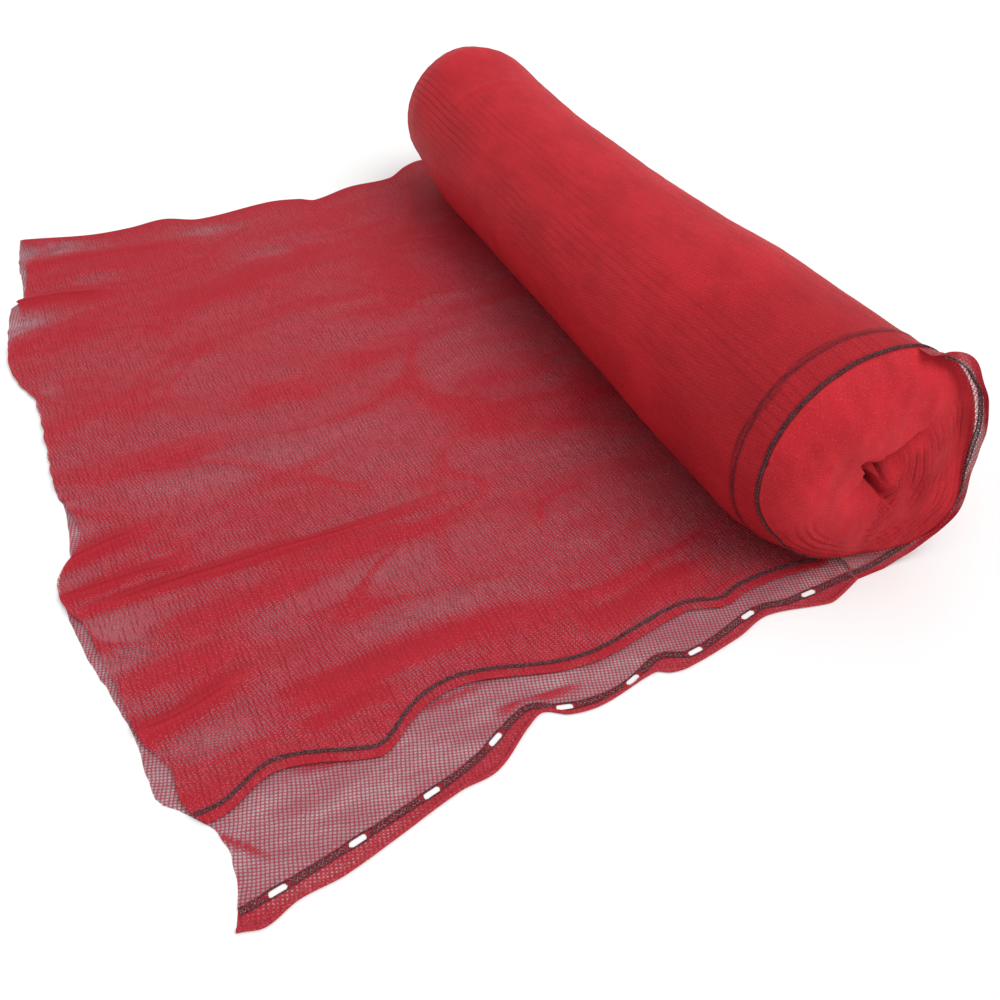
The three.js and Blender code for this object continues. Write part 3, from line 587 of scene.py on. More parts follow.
def floor_paint():
    """Matt white studio floor: the eye sees an even pale ground with soft shadows."""
    paint = Paint("matt_white_floor", FLOOR["white"])
    paint.coat(paint.noise(paint.on_object(), 3.0), FLOOR["grain"])
    return paint.finish(0.9, specular=0.5)


# Meshes


def add_object(name, data):
    made = bpy.data.objects.new(name, data)
    bpy.context.collection.objects.link(made)
    return made


def mesh_piece(name, points, faces, material, uv=None, values=None, wrap=0, slots=None):
    """A piece of the object from points in millimetres, riding with the body. uv is each point's
    place on the cloth in millimetres, and wrap the round after which its u starts again."""
    mesh = bpy.data.meshes.new(name)
    mesh.from_pydata((np.asarray(points) * MM).tolist(), [], [list(face) for face in faces])
    if uv is not None:
        layer = mesh.uv_layers.new(name="cloth")
        corners = np.empty(len(mesh.loops), int)
        mesh.loops.foreach_get("vertex_index", corners)
        places = np.asarray(uv)[corners]
        if wrap:
            owner = np.repeat(np.arange(len(faces)), [len(face) for face in faces])
            most = np.full(len(faces), -1e9)
            np.maximum.at(most, owner, places[:, 0])
            places[:, 0] += wrap * (most[owner] - places[:, 0] > wrap / 2)
        layer.data.foreach_set("uv", (places * MM).ravel())
    for key, value in (values or {}).items():
        made = mesh.attributes.new(key, "FLOAT", "POINT")
        made.data.foreach_set("value", np.asarray(value, np.float32).ravel())
    for one in material if isinstance(material, list) else [material]:
        mesh.materials.append(one)
    if slots is not None:
        mesh.polygons.foreach_set("material_index", slots)
    mesh.polygons.foreach_set("use_smooth", np.ones(len(mesh.polygons), bool))
    mesh.update()
    piece = add_object(name, mesh)
    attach(piece, "root")
    return piece


def grid_faces(columns, rows, closed=False):
    """Quads of a grid of points that run along the rows first, column by column."""
    i = np.arange(columns if closed else columns - 1)[:, None]
    j = np.arange(rows - 1)[None, :]
    a = i * rows + j
    b = (i + 1) % columns * rows + j
    return np.stack([a, b, b + 1, a + 1], -1).reshape(-1, 4)


# The roll

CLOTH_RADIUS = 165  # turns an angle round the roll into a length of cloth
COLUMNS_ROUND = 260
FACE_ROWS = 88
TURN_ROWS = 218
FAR_ROWS = 26


def rim_along(angle):
    return RIM_TILT["middle"] + RIM_TILT["top"] * np.sin(angle) - RIM_TILT["side"] * np.cos(angle)


def turn_radius(angle, along):
    """The outermost turn's radius round the axis, drawn in towards both ends."""
    degrees = signed_degrees(angle)
    near = np.maximum(0, (DRAW_REACH - along) / DRAW_REACH)
    far = smooth((along - ROLL_END + FOLD_DRAW_REACH) / FOLD_DRAW_REACH)
    past_band = (along - rim_along(angle) - TURNED_IN_BAND) / BAND_WIDTH
    drawn = rim_draw(degrees) * near * near + fold_draw(degrees) * far
    return roll_radius(along) - drawn + BAND_RELIEF * bell(past_band)


def turn_point(angle, along, out=0.0):
    """Places on the outermost turn, or a distance out from it."""
    radius = turn_radius(angle, along) + turn_creases(angle, along) + out
    height = roll_radius(along) - FLAT_SINK + radius * np.sin(angle)
    return np.stack([radius * np.cos(angle), SELVEDGE_Y + along, np.maximum(height, 0)], -1)


def turn_creases(angle, along):
    """Soft unevenness of the wound net, and the puckers at its rim, in millimetres."""
    around = angle * CLOTH_RADIUS
    past_rim = along - rim_along(angle)
    soft = 0.8 * waves(around, along, 230, 11, stretch=0.5) - 0.4
    fine = 0.3 * waves(around, along, 60, 12, stretch=0.35)
    pucker = 0.8 * waves(around, along * 0.3, 40, 13) * bell(past_rim / 30)
    folds = 0
    for fold in TURN_FOLDS:
        turned = signed_degrees(angle) - fold["angle"]
        across = along - fold["along"] - fold["slope"] * turned
        reach = bell(turned / fold["reach"])
        folds = folds + fold["height"] * reach * bell(across / fold["width"])
    return soft + fine + pucker + folds


def eye_dent(x, z):
    """The creases at the eye, steep on one side and coming up gently on the other: how deep the
    face lies there, and how near their bottom line is."""
    depth, line = np.zeros(np.shape(x)), np.zeros(np.shape(x))
    for crease in EYE_CREASES:
        run = np.array([crease["x2"] - crease["x1"], crease["z2"] - crease["z1"]], float)
        to_x, to_z = x - crease["x1"], z - crease["z1"]
        share = (to_x * run[0] + to_z * run[1]) / (run @ run)
        held = np.clip(share, 0, 1)
        away = np.hypot(to_x - held * run[0], to_z - held * run[1])
        gentle = crease["side"] * (run[0] * to_z - run[1] * to_x) > 0
        width = np.where(gentle, crease["gentle"], crease["steep"])
        deep = crease["depth"] * (1 - 0.5 * smooth((share - 0.3) / 0.7))
        depth = np.maximum(depth, deep * bell(away / width, 1.4))
        fade = 1 - 0.6 * smooth((share - 0.4) / 0.6)
        shade = np.where(gentle, GENTLE_SHADE, STEEP_SHADE)
        line = np.maximum(line, fade * bell(away / shade))
    return depth, line


def end_face(angles):
    """The selvedge end: turned-in hems from the rim to the eye, with the edges of the turns. On
    the hidden side the turns stand out almost to the collar's band."""
    inner = np.linspace(0.03, 0.975, FACE_ROWS - 5)
    share = np.append(inner, [0.98, 0.983, 0.987, 0.992, 1.0])[None, :]
    back = np.append(0 * inner, [0.08, 0.3, 0.6, 0.85, 1.0])[None, :]
    angle = angles[:, None]
    degrees = signed_degrees(angle)
    hidden = smooth((degrees + 92) / 50) * smooth((72 - degrees) / 22)
    shoulder = FRONT_SHOULDER + (RIM_SHOULDER - FRONT_SHOULDER) * hidden
    rim = turn_radius(angle, rim_along(angle)) - shoulder
    flared = collar_flare(degrees) * smooth((76 - degrees) / 20)
    beside_collar = (roll_radius(0.0) + 0.9 * flared + 0.4) / inner[-1]
    edge_out = np.maximum(collar_band_out(degrees) - 4.5, 4)
    radius = share * (rim + (beside_collar - rim) * hidden * smooth((share - 0.5) / 0.4) * (1 - back))
    x, z = radius * np.cos(angle), radius * np.sin(angle)
    out = face_out(share) + 0.0 * angle
    filled = np.maximum(out, out + (edge_out - out) * smooth((share - 0.45) / 0.45))
    out = out + (filled - out) * hidden * (1 - back)
    # the turns' edges show on the hidden side and near the rim at the bottom, where no hem is
    # folded over them
    inside = 0.2 + 0.42 * smooth((-70 - degrees) / 40)
    shown = smooth((112 - np.abs(degrees + 62)) / 45) * smooth((share - inside) / 0.12)
    wander = 4.0 * waves(angle * 60, share * 0, 70, 21) + 2.0 * waves(angle * 60, radius, 40, 25)
    spiral = radius + wander + angle * TURN_EDGE_STEP / 2 / math.pi
    turned = spiral / TURN_EDGE_STEP % 1.0
    groove = bell((turned - 0.5) * 7)
    strength = np.clip(0.65 + 0.55 * waves(angle * 80, radius, 60, 22), 0.1, 1)
    groove = groove * shown * strength
    terrace = (turned - 0.5) * shown * strength * (1 - groove)
    uneven = 2.0 * waves(x, z, 95, 23) + 0.9 * waves(x, z, 36, 24)
    dent, dent_line = eye_dent(x, z)
    y = SELVEDGE_Y + rim_along(angle) * share - out + dent + 3.2 * groove + 2.6 * terrace
    y = y + uneven * smooth((1 - share) / 0.15) * smooth(share / 0.2)
    axis_z = roll_radius(0.0) - FLAT_SINK
    # painted shade on the end: darker towards the bottom of the face, in the grooves at the turns'
    # edges, along the creases' bottoms and deep in the dent
    below = 0.24 * smooth((0.2 - np.sin(angle)) / 1.1) * smooth((share - 0.2) / 0.3)
    edge = np.maximum(np.maximum(groove, 0.2 * shown), below)
    edge = np.maximum(edge, np.maximum(0.9 * dent_line, 0.5 * smooth((dent - 24) / 14)))
    points = np.stack([x + 0 * y, y, np.maximum(axis_z + z + 0 * y, 0)], -1)
    return points, np.stack([x + 0 * y, z + 0 * y], -1), edge + 0 * y


def wound_roll(turn_material, face_material):
    angles = np.linspace(-math.pi / 2, 1.5 * math.pi, COLUMNS_ROUND, endpoint=False)
    angle = angles[:, None]
    near, near_cloth, near_end_shade = end_face(angles)

    rim = rim_along(angle)
    step = np.linspace(0, 1, TURN_ROWS)[None, :] ** 1.2
    along = rim + (ROLL_END - rim) * step
    turn = turn_point(angle + 0 * along, along)
    turn_cloth = np.stack([(angle + 0 * along) * CLOTH_RADIUS, along], -1)
    degrees = signed_degrees(angle) + 0 * along
    ring = along - rim - TURNED_IN_BAND - 1.8 * waves(angle * CLOTH_RADIUS, along * 0, 110, 7)
    lines = bell((np.abs(ring) - 3.4) / 1.7) + 0.35 * bell(ring / 6, 4)
    at_rim = along - rim - RIM_BAND["inward"] - BAND_WIDTH / 2
    lines = lines + 0.75 * bell(at_rim / 5.5, 4)
    shown = np.maximum(smooth((degrees - 40) / 30), smooth((-degrees - 130) / 20))
    band_below = np.clip(lines, 0, 1) * shown

    share = np.linspace(0, 1, FAR_ROWS + 1)[None, 1:]
    far_share = np.interp(share, FAR_STEPS, [1] + [row["share"] for row in FOLDED_END] + [0.03])
    far_out = np.interp(share, FAR_STEPS, [0] + [row["out"] for row in FOLDED_END] + [49])
    radius = (turn_radius(angle, ROLL_END + 0 * angle) + turn_creases(angle, ROLL_END)) * far_share
    height = roll_radius(ROLL_END) - FLAT_SINK + radius * np.sin(angle)
    far_y = SELVEDGE_Y + ROLL_END + far_out + 0 * radius
    far = np.stack([radius * np.cos(angle), far_y, np.maximum(height, 0)], -1)
    far_cloth = np.stack([(angle + 0 * radius) * CLOTH_RADIUS, ROLL_END + 60 * share + 0 * radius], -1)

    points = np.concatenate([near, turn, far], 1)
    rows = points.shape[1]
    faces = grid_faces(COLUMNS_ROUND, rows, closed=True)
    uv = np.concatenate([near_cloth, turn_cloth, far_cloth], 1).reshape(-1, 2)

    def everywhere(*parts):
        """A value on the selvedge end, the outermost turn and the folded end."""
        shapes = [(COLUMNS_ROUND, rows) for rows in (FACE_ROWS, TURN_ROWS, FAR_ROWS)]
        return np.concatenate([np.broadcast_to(*pair) for pair in zip(parts, shapes)], 1)

    beside_lines = 0.6 * smooth((TURNED_IN_BAND - along + rim) / 8)
    side = bell((degrees - 142) / 26)
    ribbed = np.maximum(0.15 + (0.35 + 0.65 * smooth((along - 500) / 600)) * side, beside_lines)
    # the net is darker towards the rim end
    dense = 0.38 * smooth((320 - along) / 160)
    values = {
        "dense": everywhere(0, dense, 0),
        "painted_end_shade": everywhere(near_end_shade, 0, 0),
        "band_below": everywhere(0, band_below, 0),
        "ribbed": everywhere(0, ribbed, 0.5),
    }
    points = points.reshape(-1, 3)
    first, last = np.arange(COLUMNS_ROUND) * rows, np.arange(1, COLUMNS_ROUND + 1) * rows - 1
    points = np.concatenate([points, [points[first].mean(0)], [points[last].mean(0)]])
    uv = np.concatenate([uv, [uv[first].mean(0)], [uv[last].mean(0)]])
    values = {key: np.append(value.ravel(), [0, 0]) for key, value in values.items()}
    eye, far_eye = len(points) - 2, len(points) - 1
    after = np.roll(np.arange(COLUMNS_ROUND), -1)
    near_cap = [(eye, first[b], first[a]) for a, b in enumerate(after)]
    far_cap = [(far_eye, last[a], last[b]) for a, b in enumerate(after)]
    slots = [1 if n % (rows - 1) < FACE_ROWS - 1 else 0 for n in range(len(faces))]
    slots += [1] * len(near_cap) + [0] * len(far_cap)
    everything = [tuple(face) for face in faces] + near_cap + far_cap
    wrap = 2 * math.pi * CLOTH_RADIUS
    piece = mesh_piece(
        "wound_net", points, everything, [turn_material, face_material], uv, values, wrap, slots
    )
    face_outwards(piece)
    return piece


def face_outwards(piece):
    """A closed piece's faces, all turned to look outwards."""
    solid = bmesh.new()
    solid.from_mesh(piece.data)
    bmesh.ops.recalc_face_normals(solid, faces=solid.faces)
    solid.to_mesh(piece.data)
    solid.free()


# The loose end

LOOSE_COLUMNS = 214
HEM_CLOSED = 0.42
FAR_FROM_BAND = 99


def roll_foot(along, height):
    """Where the roll's side is at a height above the surface, on the loose side."""
    radius = roll_radius(np.maximum(along, 0))
    foot = -np.sqrt(radius**2 - (radius - FLAT_SINK - height) ** 2) - 0.4
    under = smooth((along - ROLL_END - UNDER_END_FROM) / UNDER_END_OVER)
    return foot + (UNDER_END_X - foot) * under


def lower_end(along):
    """Where the lower layer ends under the roll: further in near the rim, where the collar starts."""
    near_rim = UNDER_ROLL_X + (COLLAR_START_X - UNDER_ROLL_X) * smooth((40 - along) / 30)
    return np.maximum(roll_foot(along, LOWER_LEVEL) + 1, near_rim)


def upper_end(along):
    return roll_foot(along, UPPER_LEVEL) + 1 + UNDER_RIM * smooth((50 - along) / 50)


def upper_cut(along):
    return cut_x(along) + upper_setback(along)


def upper_top(x, along):
    """The upper layer's height above the surface, and how far it is closed there."""
    from_roll = smooth((-60 - x) / 90)
    height, closed, shift = fold_shape(UPPER_FOLDS, x, along)
    loose = 0.9 * waves(x, along, 120, 31, stretch=1.8) + 0.5 * waves(x, along, 46, 32, stretch=2.2)
    streak = streaks(x, along, 260, 33) + 0.8 * streaks(x, along, 150, 35)
    height = height + loose + 2.0 * np.minimum(streak, 1)
    closed = np.maximum(closed, 0.42 * np.minimum(streak, 1)) - pale_patches(x, along)
    return UPPER_LEVEL + 1.0 + height * from_roll, closed * from_roll, shift * from_roll


def lower_top(x, along):
    """The lower layer's height, which lifts only at the pleat and creases beside the strip."""
    beside = smooth((along - lower_band_along(x) - STRIP_SEAM) / 9)
    clear = smooth((upper_band_along(x) - UPPER_HEM - along) / 18 - 0.4)
    height, closed, shift = fold_shape(LOWER_FOLDS, x, along)
    lift = beside * clear
    return LOWER_LEVEL + height * lift, closed * beside, shift * lift


def loose_rows():
    """The lines across the loose end, from the strip's seam under the upper layer, round the
    fold and back to the upper hem's edge: each with what gives its height, and whether it is in
    the upper layer."""
    seam = beside(lower_band_along, STRIP_SEAM)
    near_seam = np.concatenate([np.arange(0, 66, 3.0), np.arange(72, SEAM_ZONE, 8.0)])
    rows = [(beside(seam, past), lower_top, False) for past in near_seam]
    seam_zone_end, opens = beside(seam, SEAM_ZONE), beside(fold_along, -FOLD_OPENS)
    for share in np.linspace(0.02, 1, 108):
        rows.append((between(seam_zone_end, opens, share), lower_top, False))
    turn = (UPPER_LEVEL - LOWER_LEVEL) / 2
    for degrees in (-80, -50, -25, 0, 25, 50, 80):
        bend = math.radians(degrees)
        line = beside(fold_along, -FOLD_OPENS * 0.25 * (1 - math.cos(bend)))
        level = LOWER_LEVEL + turn + 1.2 + (turn + 1.2) * math.sin(bend)
        rows.append((line, lambda x, along, z=level: (z + 0 * x, 0.5 + 0 * x, 0 * x), degrees > 0))
    near_zone, hem = (lambda x: NEAR_ZONE + 0 * x), beside(upper_band_along, -UPPER_HEM)
    for share in np.linspace(0, 1, 166) ** 0.82:
        rows.append((between(opens, near_zone, share), upper_top, True))
    for share in np.linspace(0, 1, 122)[1:]:
        rows.append((between(near_zone, hem, share), upper_top, True))
    # the hem curls under at its edge
    for back, drop in ((-1.2, 0.7), (-0.6, 1.8), (1.6, 2.5), (5.0, 2.6)):
        curled = lambda x, along, d=drop: (upper_top(x, along)[0] - d, 0.5 + 0 * x, 0 * x)
        rows.append((beside(hem, back), curled, True))
    return rows


def loose_net(material):
    shares = np.linspace(0, 1, LOOSE_COLUMNS)
    points, cloth, closed_all, band_all = [], [], [], []
    rows = loose_rows()
    for line, top, in_upper in rows:
        cut, end = (upper_cut, upper_end) if in_upper else (cut_x, lower_end)
        x, along = on_line(shares, line, cut, end)
        height, closed, shift = top(x, along)
        x_drawn = x + 1.4 * waves(along, along * 0, 37, 51) * smooth((0.03 - shares) / 0.03)
        points.append(np.stack([x_drawn, SELVEDGE_Y + (along + shift), height], -1))
        run = 2 * FOLDED_WIDTH - along if in_upper else along
        cloth.append(np.stack([x, run], -1))
        past_band = upper_band_along(x) - along if in_upper else 0 * x - FAR_FROM_BAND
        in_hem = smooth((past_band - 3) / 5)
        hem = HEM_CLOSED + 0.3 * waves(x, along, 44, 55, stretch=2.0)
        denser = 0.32 * smooth((along - 700) / 500) * in_upper
        closed_all.append((closed + denser) * (1 - in_hem) + hem * in_hem)
        band_all.append(bell(past_band / 4.2, 4))
    points = np.array(points).transpose(1, 0, 2)
    cloth = np.array(cloth).transpose(1, 0, 2)
    closed_all = np.array(closed_all).T
    faces = grid_faces(LOOSE_COLUMNS, points.shape[1])
    upper = np.array([[float(in_upper)] * LOOSE_COLUMNS for _, _, in_upper in rows]).T
    # the lower layer carries haze and the painted shade of the ground, less near the roll
    haze_and_ground_shade = (1 - upper) * (0.5 + 0.5 * smooth((-10 - cloth[..., 0]) / 130))
    values = {"closed": closed_all, "band": np.array(band_all).T, "ribbed": upper, "haze_and_ground_shade": haze_and_ground_shade}
    return mesh_piece(
        "loose_net", points.reshape(-1, 3), faces, material, cloth.reshape(-1, 2), values
    )


# The strip with the eyelets

STRIP_COLUMNS = 400


def eyelet_places():
    """Each eyelet's middle, and which way the band runs there."""
    for n in range(EYELET_COUNT):
        x = FIRST_EYELET_X + n * EYELET_PITCH
        rise = float(lower_band_along(x + 5) - lower_band_along(x - 5))
        yield x, float(lower_band_along(x)), math.atan2(rise, 10)


def from_eyelets(x, along):
    """The distance to the nearest eyelet's edge, less than 0 inside it, and the way out."""
    nearest = np.full(np.shape(x), 1e9)
    way = np.zeros(np.shape(x) + (2,))
    straight = (EYELET_LENGTH - EYELET_WIDTH) / 2
    for ex, ealong, turn in eyelet_places():
        c, s = math.cos(turn), math.sin(turn)
        u = (x - ex) * c + (along - ealong) * s
        v = (along - ealong) * c - (x - ex) * s
        du = u - np.clip(u, -straight, straight)
        away = np.hypot(du, v)
        distance = away - EYELET_WIDTH / 2
        safe = np.maximum(away, 1e-6)
        out = np.stack([(du * c - v * s) / safe, (du * s + v * c) / safe], -1)
        closer = distance < nearest
        nearest = np.where(closer, distance, nearest)
        way = np.where(closer[..., None], out, way)
    return nearest, way


def eyelet_strip(material):
    shares = np.linspace(0, 1, STRIP_COLUMNS)
    edge, band = lower_edge_along, lower_band_along
    # the hem that is turned over on top, its round edge, and then the net across to the seam:
    # each line with its level and how far the net is closed there
    lines = [(beside(edge, 5), 3.4, 0.3), (beside(edge, 2.6), 3.6, 0.3), (beside(edge, 0.7), 3.0, 0.3)]
    lines += [(beside(edge, -0.4), 1.9, 0.5), (beside(edge, 0.8), 0.9, 0.42)]
    for share in np.linspace(0.12, 1, 9):
        lines.append((between(edge, beside(band, -6.5), share), LOWER_LEVEL, 0.27))
    lines += [(beside(band, past), LOWER_LEVEL, 0.55) for past in np.arange(-5.2, 5.3, 1.3)]
    lines.append((beside(band, STRIP_SEAM + 1.5), LOWER_LEVEL + 0.1, 0.2))
    points, cloth, closed = [], [], []
    for line, level, dense in lines:
        x, along = on_line(shares, line, cut_x, lambda a: 0 * a - 1)
        lift = 0.35 * waves(x, along, 70, 61) + 0.35
        points.append(np.stack([x, SELVEDGE_Y + along, level + lift * (level > 1.5)], -1))
        cloth.append(np.stack([x, along], -1))
        closed.append(dense + 0 * x)
    points = np.array(points).transpose(1, 0, 2).reshape(-1, 3)
    cloth = np.array(cloth).transpose(1, 0, 2).reshape(-1, 2)
    distance, way = from_eyelets(cloth[:, 0], cloth[:, 1])
    faces = grid_faces(STRIP_COLUMNS, len(lines))
    faces = faces[distance[faces].mean(1) > -0.3]
    inside = (distance < 0)[:, None]
    shift = way * -distance[:, None] * inside
    points[:, :2] += shift
    cloth += shift
    used = np.unique(faces)
    renumber = np.full(len(points), -1)
    renumber[used] = np.arange(len(used))
    points, cloth = points[used], cloth[used]
    past_band = cloth[:, 1] - lower_band_along(cloth[:, 0])
    values = {
        "closed": np.array(closed).T.ravel()[used],
        "band": bell(past_band / 5.5, 4),
        # haze and the painted shade of the ground, past the band and less near the roll
        "haze_and_ground_shade": 0.15 + 0.85 * smooth((past_band - 2) / 4) * (0.5 + 0.5 * smooth(-cloth[:, 0] / 120)),
        "ribbed": 0.8 * smooth((-4 - past_band) / 3),
    }
    return mesh_piece("eyelet_strip_net", points, renumber[faces], material, cloth, values)


# The collar

COLLAR_RADIUS = 170  # as CLOTH_RADIUS
COLLAR_COLUMNS = 150
COLLAR_ROWS = 26


def collar_point(angle, out):
    degrees = np.degrees(angle)
    rim = rim_along(angle)
    at_rim = turn_radius(angle, rim)
    opened = roll_radius(0.0) + collar_flare(degrees)
    ruffle = 1.2 * waves(angle * CLOTH_RADIUS, out * 0.4, 44, 71) * smooth(out / 30)
    up = HEM_TURNS["share"] * smooth((degrees - HEM_TURNS["from"]) / HEM_TURNS["over"])
    turned_up = up * np.maximum(out - collar_band_out_past(angle) - 2, 0)
    out = out - turned_up
    radius = at_rim + (opened - at_rim) * smooth(out / COLLAR_OPENS_OVER) + ruffle + turned_up - 0.4
    axis_z = roll_radius(0.0) - FLAT_SINK
    height = np.maximum(axis_z + radius * np.sin(angle), 0.5)
    return np.stack([radius * np.cos(angle), SELVEDGE_Y + rim - 0.4 - out, height], -1)


def collar_band_out_past(angle):
    return collar_band_out(np.degrees(angle)) + rim_along(angle)


def collar_net(material):
    start, end = math.radians(COLLAR[0]["angle"]), math.radians(COLLAR[-1]["angle"])
    angle = np.linspace(start, end, COLLAR_COLUMNS)[:, None]
    band = collar_band_out_past(angle)
    edge = band + collar_hem(np.degrees(angle))
    share = np.linspace(0, 1, COLLAR_ROWS)[None, :]
    out = edge * share
    points = collar_point(angle + 0 * out, out)
    around = (angle + math.pi / 2 + 0 * out) * COLLAR_RADIUS
    cloth = np.stack([around, rim_along(angle) - out], -1)
    hem = smooth((out - band - 3) / 3)
    near_band = bell((out - band) / 6, 4)
    closed = np.maximum(0.5 * hem, 0.35 * near_band)
    # the collar's haze and painted shade of the ground, more at its start under the roll
    haze_and_ground_shade = 0.25 + 0.3 * smooth((-60 - np.degrees(angle)) / 28)
    return mesh_piece(
        "collar_net",
        points.reshape(-1, 3),
        grid_faces(COLLAR_COLUMNS, COLLAR_ROWS)[:, ::-1],
        material,
        cloth.reshape(-1, 2),
        {"closed": closed, "band": near_band, "haze_and_ground_shade": haze_and_ground_shade * (1 - hem)},
    )


# The bands of yarn

PLY_RADIUS = 0.5
PLY_SWING = 0.62
PLY_PITCH = 6.0
CORD_ASIDE = 3.7
NARROW_ASIDE = 1.5  # where the band lies curled along the cloth
STITCH_RADIUS = 0.45
STITCH_PITCH = 5.2
YARN_STEP = 1.15
YARN_SIDES = 5
PATH_POINTS = 900
ROUND_POINTS = 700
LOWER_BAND_START = -157.0  # where each band meets the cut end
UPPER_BAND_START = -20.0
UPWARDS = np.array([0.0, 0.0, 1.0])
DARK_CORD = 0.15  # how pale the cords are, from 0 to 1


def even_path(points, angle=None):
    """Points every YARN_STEP along a fine polyline, how far along it each is, and the angle round
    the roll there."""
    steps = np.linalg.norm(np.diff(points, axis=0), axis=1)
    run = np.concatenate([[0], np.cumsum(steps)])
    wanted = np.arange(0, run[-1], YARN_STEP)
    path = np.stack([np.interp(wanted, run, points[:, k]) for k in range(3)], -1)
    return path, wanted, None if angle is None else np.interp(wanted, run, angle)


def away_from_axis(angle):
    return np.stack([np.cos(angle), 0 * angle, np.sin(angle)], -1)


def across_and_up(path, up):
    """Unit vectors across a band and away from its cloth, at each point of its path."""
    ahead = np.gradient(path, axis=0)
    ahead /= np.linalg.norm(ahead, axis=1)[:, None]
    across = np.cross(up, ahead)
    across /= np.linalg.norm(across, axis=1)[:, None]
    return across, np.cross(ahead, across)


def band_strands(path, run, up, paleness, aside=None, seed=0):
    """The strands of a knitted-in band: a twisted cord down each side, which is aside from the
    band's middle line, and stitches across. Each is a line, a radius and how pale it is."""
    across, away = across_and_up(path, up)
    aside = np.full(len(path), NARROW_ASIDE) if aside is None else aside
    strands = []
    for side in (-1, 1):
        wobble = 0.35 * waves(run, run * 0, 41, seed + side)
        for ply in (0, 1):
            turn = 2 * math.pi * run / PLY_PITCH + math.pi * ply + wobble
            off = side * aside + wobble + PLY_SWING * np.cos(turn)
            rise = PLY_RADIUS + 0.2 + 0.55 * PLY_SWING * (1 + np.sin(turn))
            line = path + across * off[:, None] + away * rise[:, None]
            strands.append((line, PLY_RADIUS, DARK_CORD))
        lean = side * np.abs((run / STITCH_PITCH) % 2 - 1) * 2 - side
        off = lean * (aside - 0.4)
        rise = STITCH_RADIUS + 0.5 + 0.3 * side + 0 * run
        line = path + across * off[:, None] + away * rise[:, None]
        open_here = aside < CORD_ASIDE + 0.6  # no stitches cross an eyelet
        start = 0
        for n in range(1, len(line) + 1):
            if n == len(line) or open_here[n] != open_here[start]:
                if open_here[start] and n - start > 3:
                    strands.append((line[start:n], STITCH_RADIUS, paleness))
                start = n
    return strands


def yarn_tree(material):
    """Geometry Nodes that turn strands, drawn as edges with a radius each, into round yarn."""
    tree = bpy.data.node_groups.new("yarn", "GeometryNodeTree")
    tree.interface.new_socket("Geometry", in_out="INPUT", socket_type="NodeSocketGeometry")
    sides = tree.interface.new_socket("Sides", in_out="INPUT", socket_type="NodeSocketInt")
    tree.interface.new_socket("Geometry", in_out="OUTPUT", socket_type="NodeSocketGeometry")
    strands = put(tree, "NodeGroupInput")
    curve = put(tree, "GeometryNodeMeshToCurve", [("Mesh", strands)])
    thick = put(tree, "GeometryNodeInputNamedAttribute", [("Name", "thick")], data_type="FLOAT")
    sized = put(tree, "GeometryNodeSetCurveRadius", [("Curve", curve), ("Radius", thick)])
    around = [("Radius", 1.0), ("Resolution", strands.node.outputs[1])]
    ring = put(tree, "GeometryNodeCurvePrimitiveCircle", around)
    run_along = [("Curve", sized), ("Profile Curve", ring), ("Fill Caps", True), ("Scale", thick)]
    tube = put(tree, "GeometryNodeCurveToMesh", run_along)
    whole = put(tree, "GeometryNodeRealizeInstances", [("Geometry", tube)])
    painted = put(tree, "GeometryNodeSetMaterial", [("Geometry", whole), ("Material", material)])
    tree.links.new(painted, tree.nodes.new("NodeGroupOutput").inputs[0])
    return tree, sides.identifier


def yarn_piece(name, strands, tree, sides_socket):
    """One piece of round yarn from strands, with the Geometry Nodes applied."""
    points, edges, thick, pale = [], [], [], []
    for line, radius, paleness in strands:
        start = len(points)
        points += (line * MM).tolist()
        edges += [(start + n, start + n + 1) for n in range(len(line) - 1)]
        thick += [radius * MM] * len(line)
        pale += [paleness] * len(line)
    mesh = bpy.data.meshes.new(name + "_strands")
    mesh.from_pydata(points, edges, [])
    for key, values in (("thick", thick), ("pale", pale)):
        mesh.attributes.new(key, "FLOAT", "POINT").data.foreach_set("value", values)
    source = add_object(name + "_strands", mesh)
    spun = source.modifiers.new("yarn", "NODES")
    spun.node_group = tree
    spun[sides_socket] = YARN_SIDES
    depsgraph = bpy.context.evaluated_depsgraph_get()
    made = bpy.data.meshes.new_from_object(source.evaluated_get(depsgraph))
    source.modifiers.remove(spun)
    bpy.data.objects.remove(source)
    made.name = name
    made.polygons.foreach_set("use_smooth", np.ones(len(made.polygons), bool))
    piece = add_object(name, made)
    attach(piece, "root")
    return piece


def lower_band_strands():
    x = np.linspace(float(cut_x(LOWER_BAND_START)) + 2, -3, PATH_POINTS)
    level = LOWER_LEVEL + 0 * x
    path, run, _ = even_path(np.stack([x, SELVEDGE_Y + lower_band_along(x), level], -1))
    place = path[:, 0] - FIRST_EYELET_X
    past = np.abs((place + EYELET_PITCH / 2) % EYELET_PITCH - EYELET_PITCH / 2)
    half = EYELET_LENGTH / 2
    opened = smooth((half + 8 - past) / 9)
    aside = CORD_ASIDE + (EYELET_WIDTH / 2 + 1.3 - CORD_ASIDE) * opened
    return band_strands(path, run, UPWARDS, 0.9, aside, seed=80)


def upper_band_strands():
    start = float(upper_cut(UPPER_BAND_START)) + 2
    end = float(roll_foot(0.0, UPPER_LEVEL + 2)) - 1 + UNDER_RIM
    x = np.linspace(start, end, PATH_POINTS)
    along = upper_band_along(x)
    height, _, shift = upper_top(x, along)
    path, run, _ = even_path(np.stack([x, SELVEDGE_Y + along + shift, height], -1))
    return band_strands(path, run, UPWARDS, 0.3, seed=84)


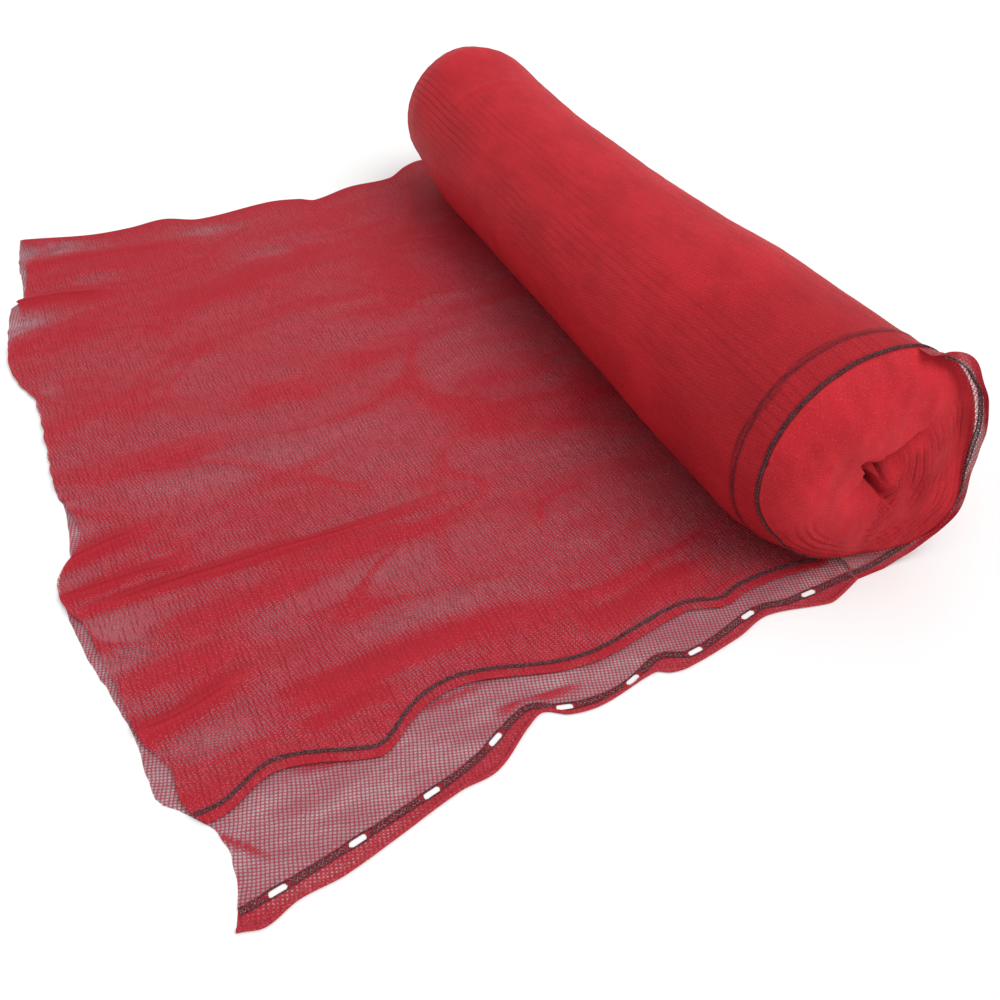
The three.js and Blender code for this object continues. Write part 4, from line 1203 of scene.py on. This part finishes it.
def collar_band_strands():
    angle = np.radians(np.linspace(COLLAR[0]["angle"], COLLAR_BAND_END, ROUND_POINTS))
    line = collar_point(angle, collar_band_out_past(angle))
    path, run, angle = even_path(line, angle)
    aside = 0.8 * CORD_ASIDE + 0 * run
    return band_strands(path, run, -away_from_axis(angle), 1.0, aside, seed=88)


def rim_band_strands():
    angle = np.radians(np.linspace(RIM_BAND["from"], RIM_BAND["to"], ROUND_POINTS))
    line = turn_point(angle, rim_along(angle) + RIM_BAND["inward"] + BAND_WIDTH / 2)
    path, run, angle = even_path(line, angle)
    return band_strands(path, run, away_from_axis(angle), 0.15, seed=92)


# Camera, light and floor

CAMERA_PLACE = (-0.8805, -1.4530, 1.0902)
CAMERA_HEADING = math.radians(24.99)
CAMERA_DOWN = math.radians(43.18)
CAMERA_TILT = math.radians(0.395)
CAMERA_LENS = 37.03
CAMERA_SENSOR = 36.0
WORLD_LIGHT = 0.72
KEY_FROM = (0.4, -0.45, 1.0)
KEY_SPREAD = math.radians(46)
KEY_STRENGTH = 1.7
FLOOR_REACH = 9.0
FLOOR_LEVEL = -0.0002  # just under the net, so that the two don't meet


def add_camera():
    data = bpy.data.cameras.new("camera")
    data.lens, data.sensor_width = CAMERA_LENS, CAMERA_SENSOR
    data.clip_start, data.clip_end = 0.01, 60.0
    camera = add_object("camera", data)
    h, e, r = CAMERA_HEADING, CAMERA_DOWN, CAMERA_TILT
    ahead = Vector((math.sin(h) * math.cos(e), math.cos(h) * math.cos(e), -math.sin(e)))
    right = Vector((math.cos(h), -math.sin(h), 0.0))
    down = ahead.cross(right)
    tilted_right = right * math.cos(r) + down * math.sin(r)
    tilted_down = down * math.cos(r) - right * math.sin(r)
    turn = Matrix((tilted_right, -tilted_down, -ahead)).transposed()
    camera.matrix_world = Matrix.Translation(CAMERA_PLACE) @ turn.to_4x4()
    bpy.context.scene.camera = camera


def add_key_light():
    """A large soft light far away, so that the floor is evenly bright."""
    data = bpy.data.lights.new("key", "SUN")
    data.angle, data.energy = KEY_SPREAD, KEY_STRENGTH
    light = add_object("key", data)
    light.matrix_world = (-Vector(KEY_FROM)).to_track_quat("-Z", "Y").to_matrix().to_4x4()


def add_floor():
    mesh = bpy.data.meshes.new("floor")
    sides = ((-1, -1), (1, -1), (1, 1), (-1, 1))
    corners = [(x * FLOOR_REACH, y * FLOOR_REACH, FLOOR_LEVEL) for x, y in sides]
    mesh.from_pydata(corners, [], [(0, 1, 2, 3)])
    mesh.materials.append(floor_paint())
    floor = add_object("floor", mesh)
    return floor


def add_world():
    world = bpy.data.worlds.new("studio")
    bpy.context.scene.world = world
    world.use_nodes = True
    sky = world.node_tree.nodes["Background"]
    sky.inputs[0].default_value = (1, 1, 1, 1)
    sky.inputs[1].default_value = WORLD_LIGHT


bpy.context.scene.view_settings.view_transform = "Standard"
add_camera()
add_world()
floor = add_floor()
add_key_light()

sheer = knitted_net()
yarn = band_yarn()
roll = wound_roll(wound_net("turn", 0.6, 0.42), wound_net("face", 0.12, 0.6))
loose = loose_net(sheer)
strip = eyelet_strip(sheer)
collar = collar_net(sheer)
spin, sides_socket = yarn_tree(yarn)
bands = {
    "lower_band": yarn_piece("lower_band_yarn", lower_band_strands(), spin, sides_socket),
    "upper_band": yarn_piece("upper_band_yarn", upper_band_strands(), spin, sides_socket),
    "collar_band": yarn_piece("collar_band_yarn", collar_band_strands(), spin, sides_socket),
    "rim_band": yarn_piece("rim_band_yarn", rim_band_strands(), spin, sides_socket),
}
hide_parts("wound_roll")
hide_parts("loose_end")
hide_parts("eyelet_strip")
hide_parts("collar_strip")
for node, piece in bands.items():
    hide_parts(node)
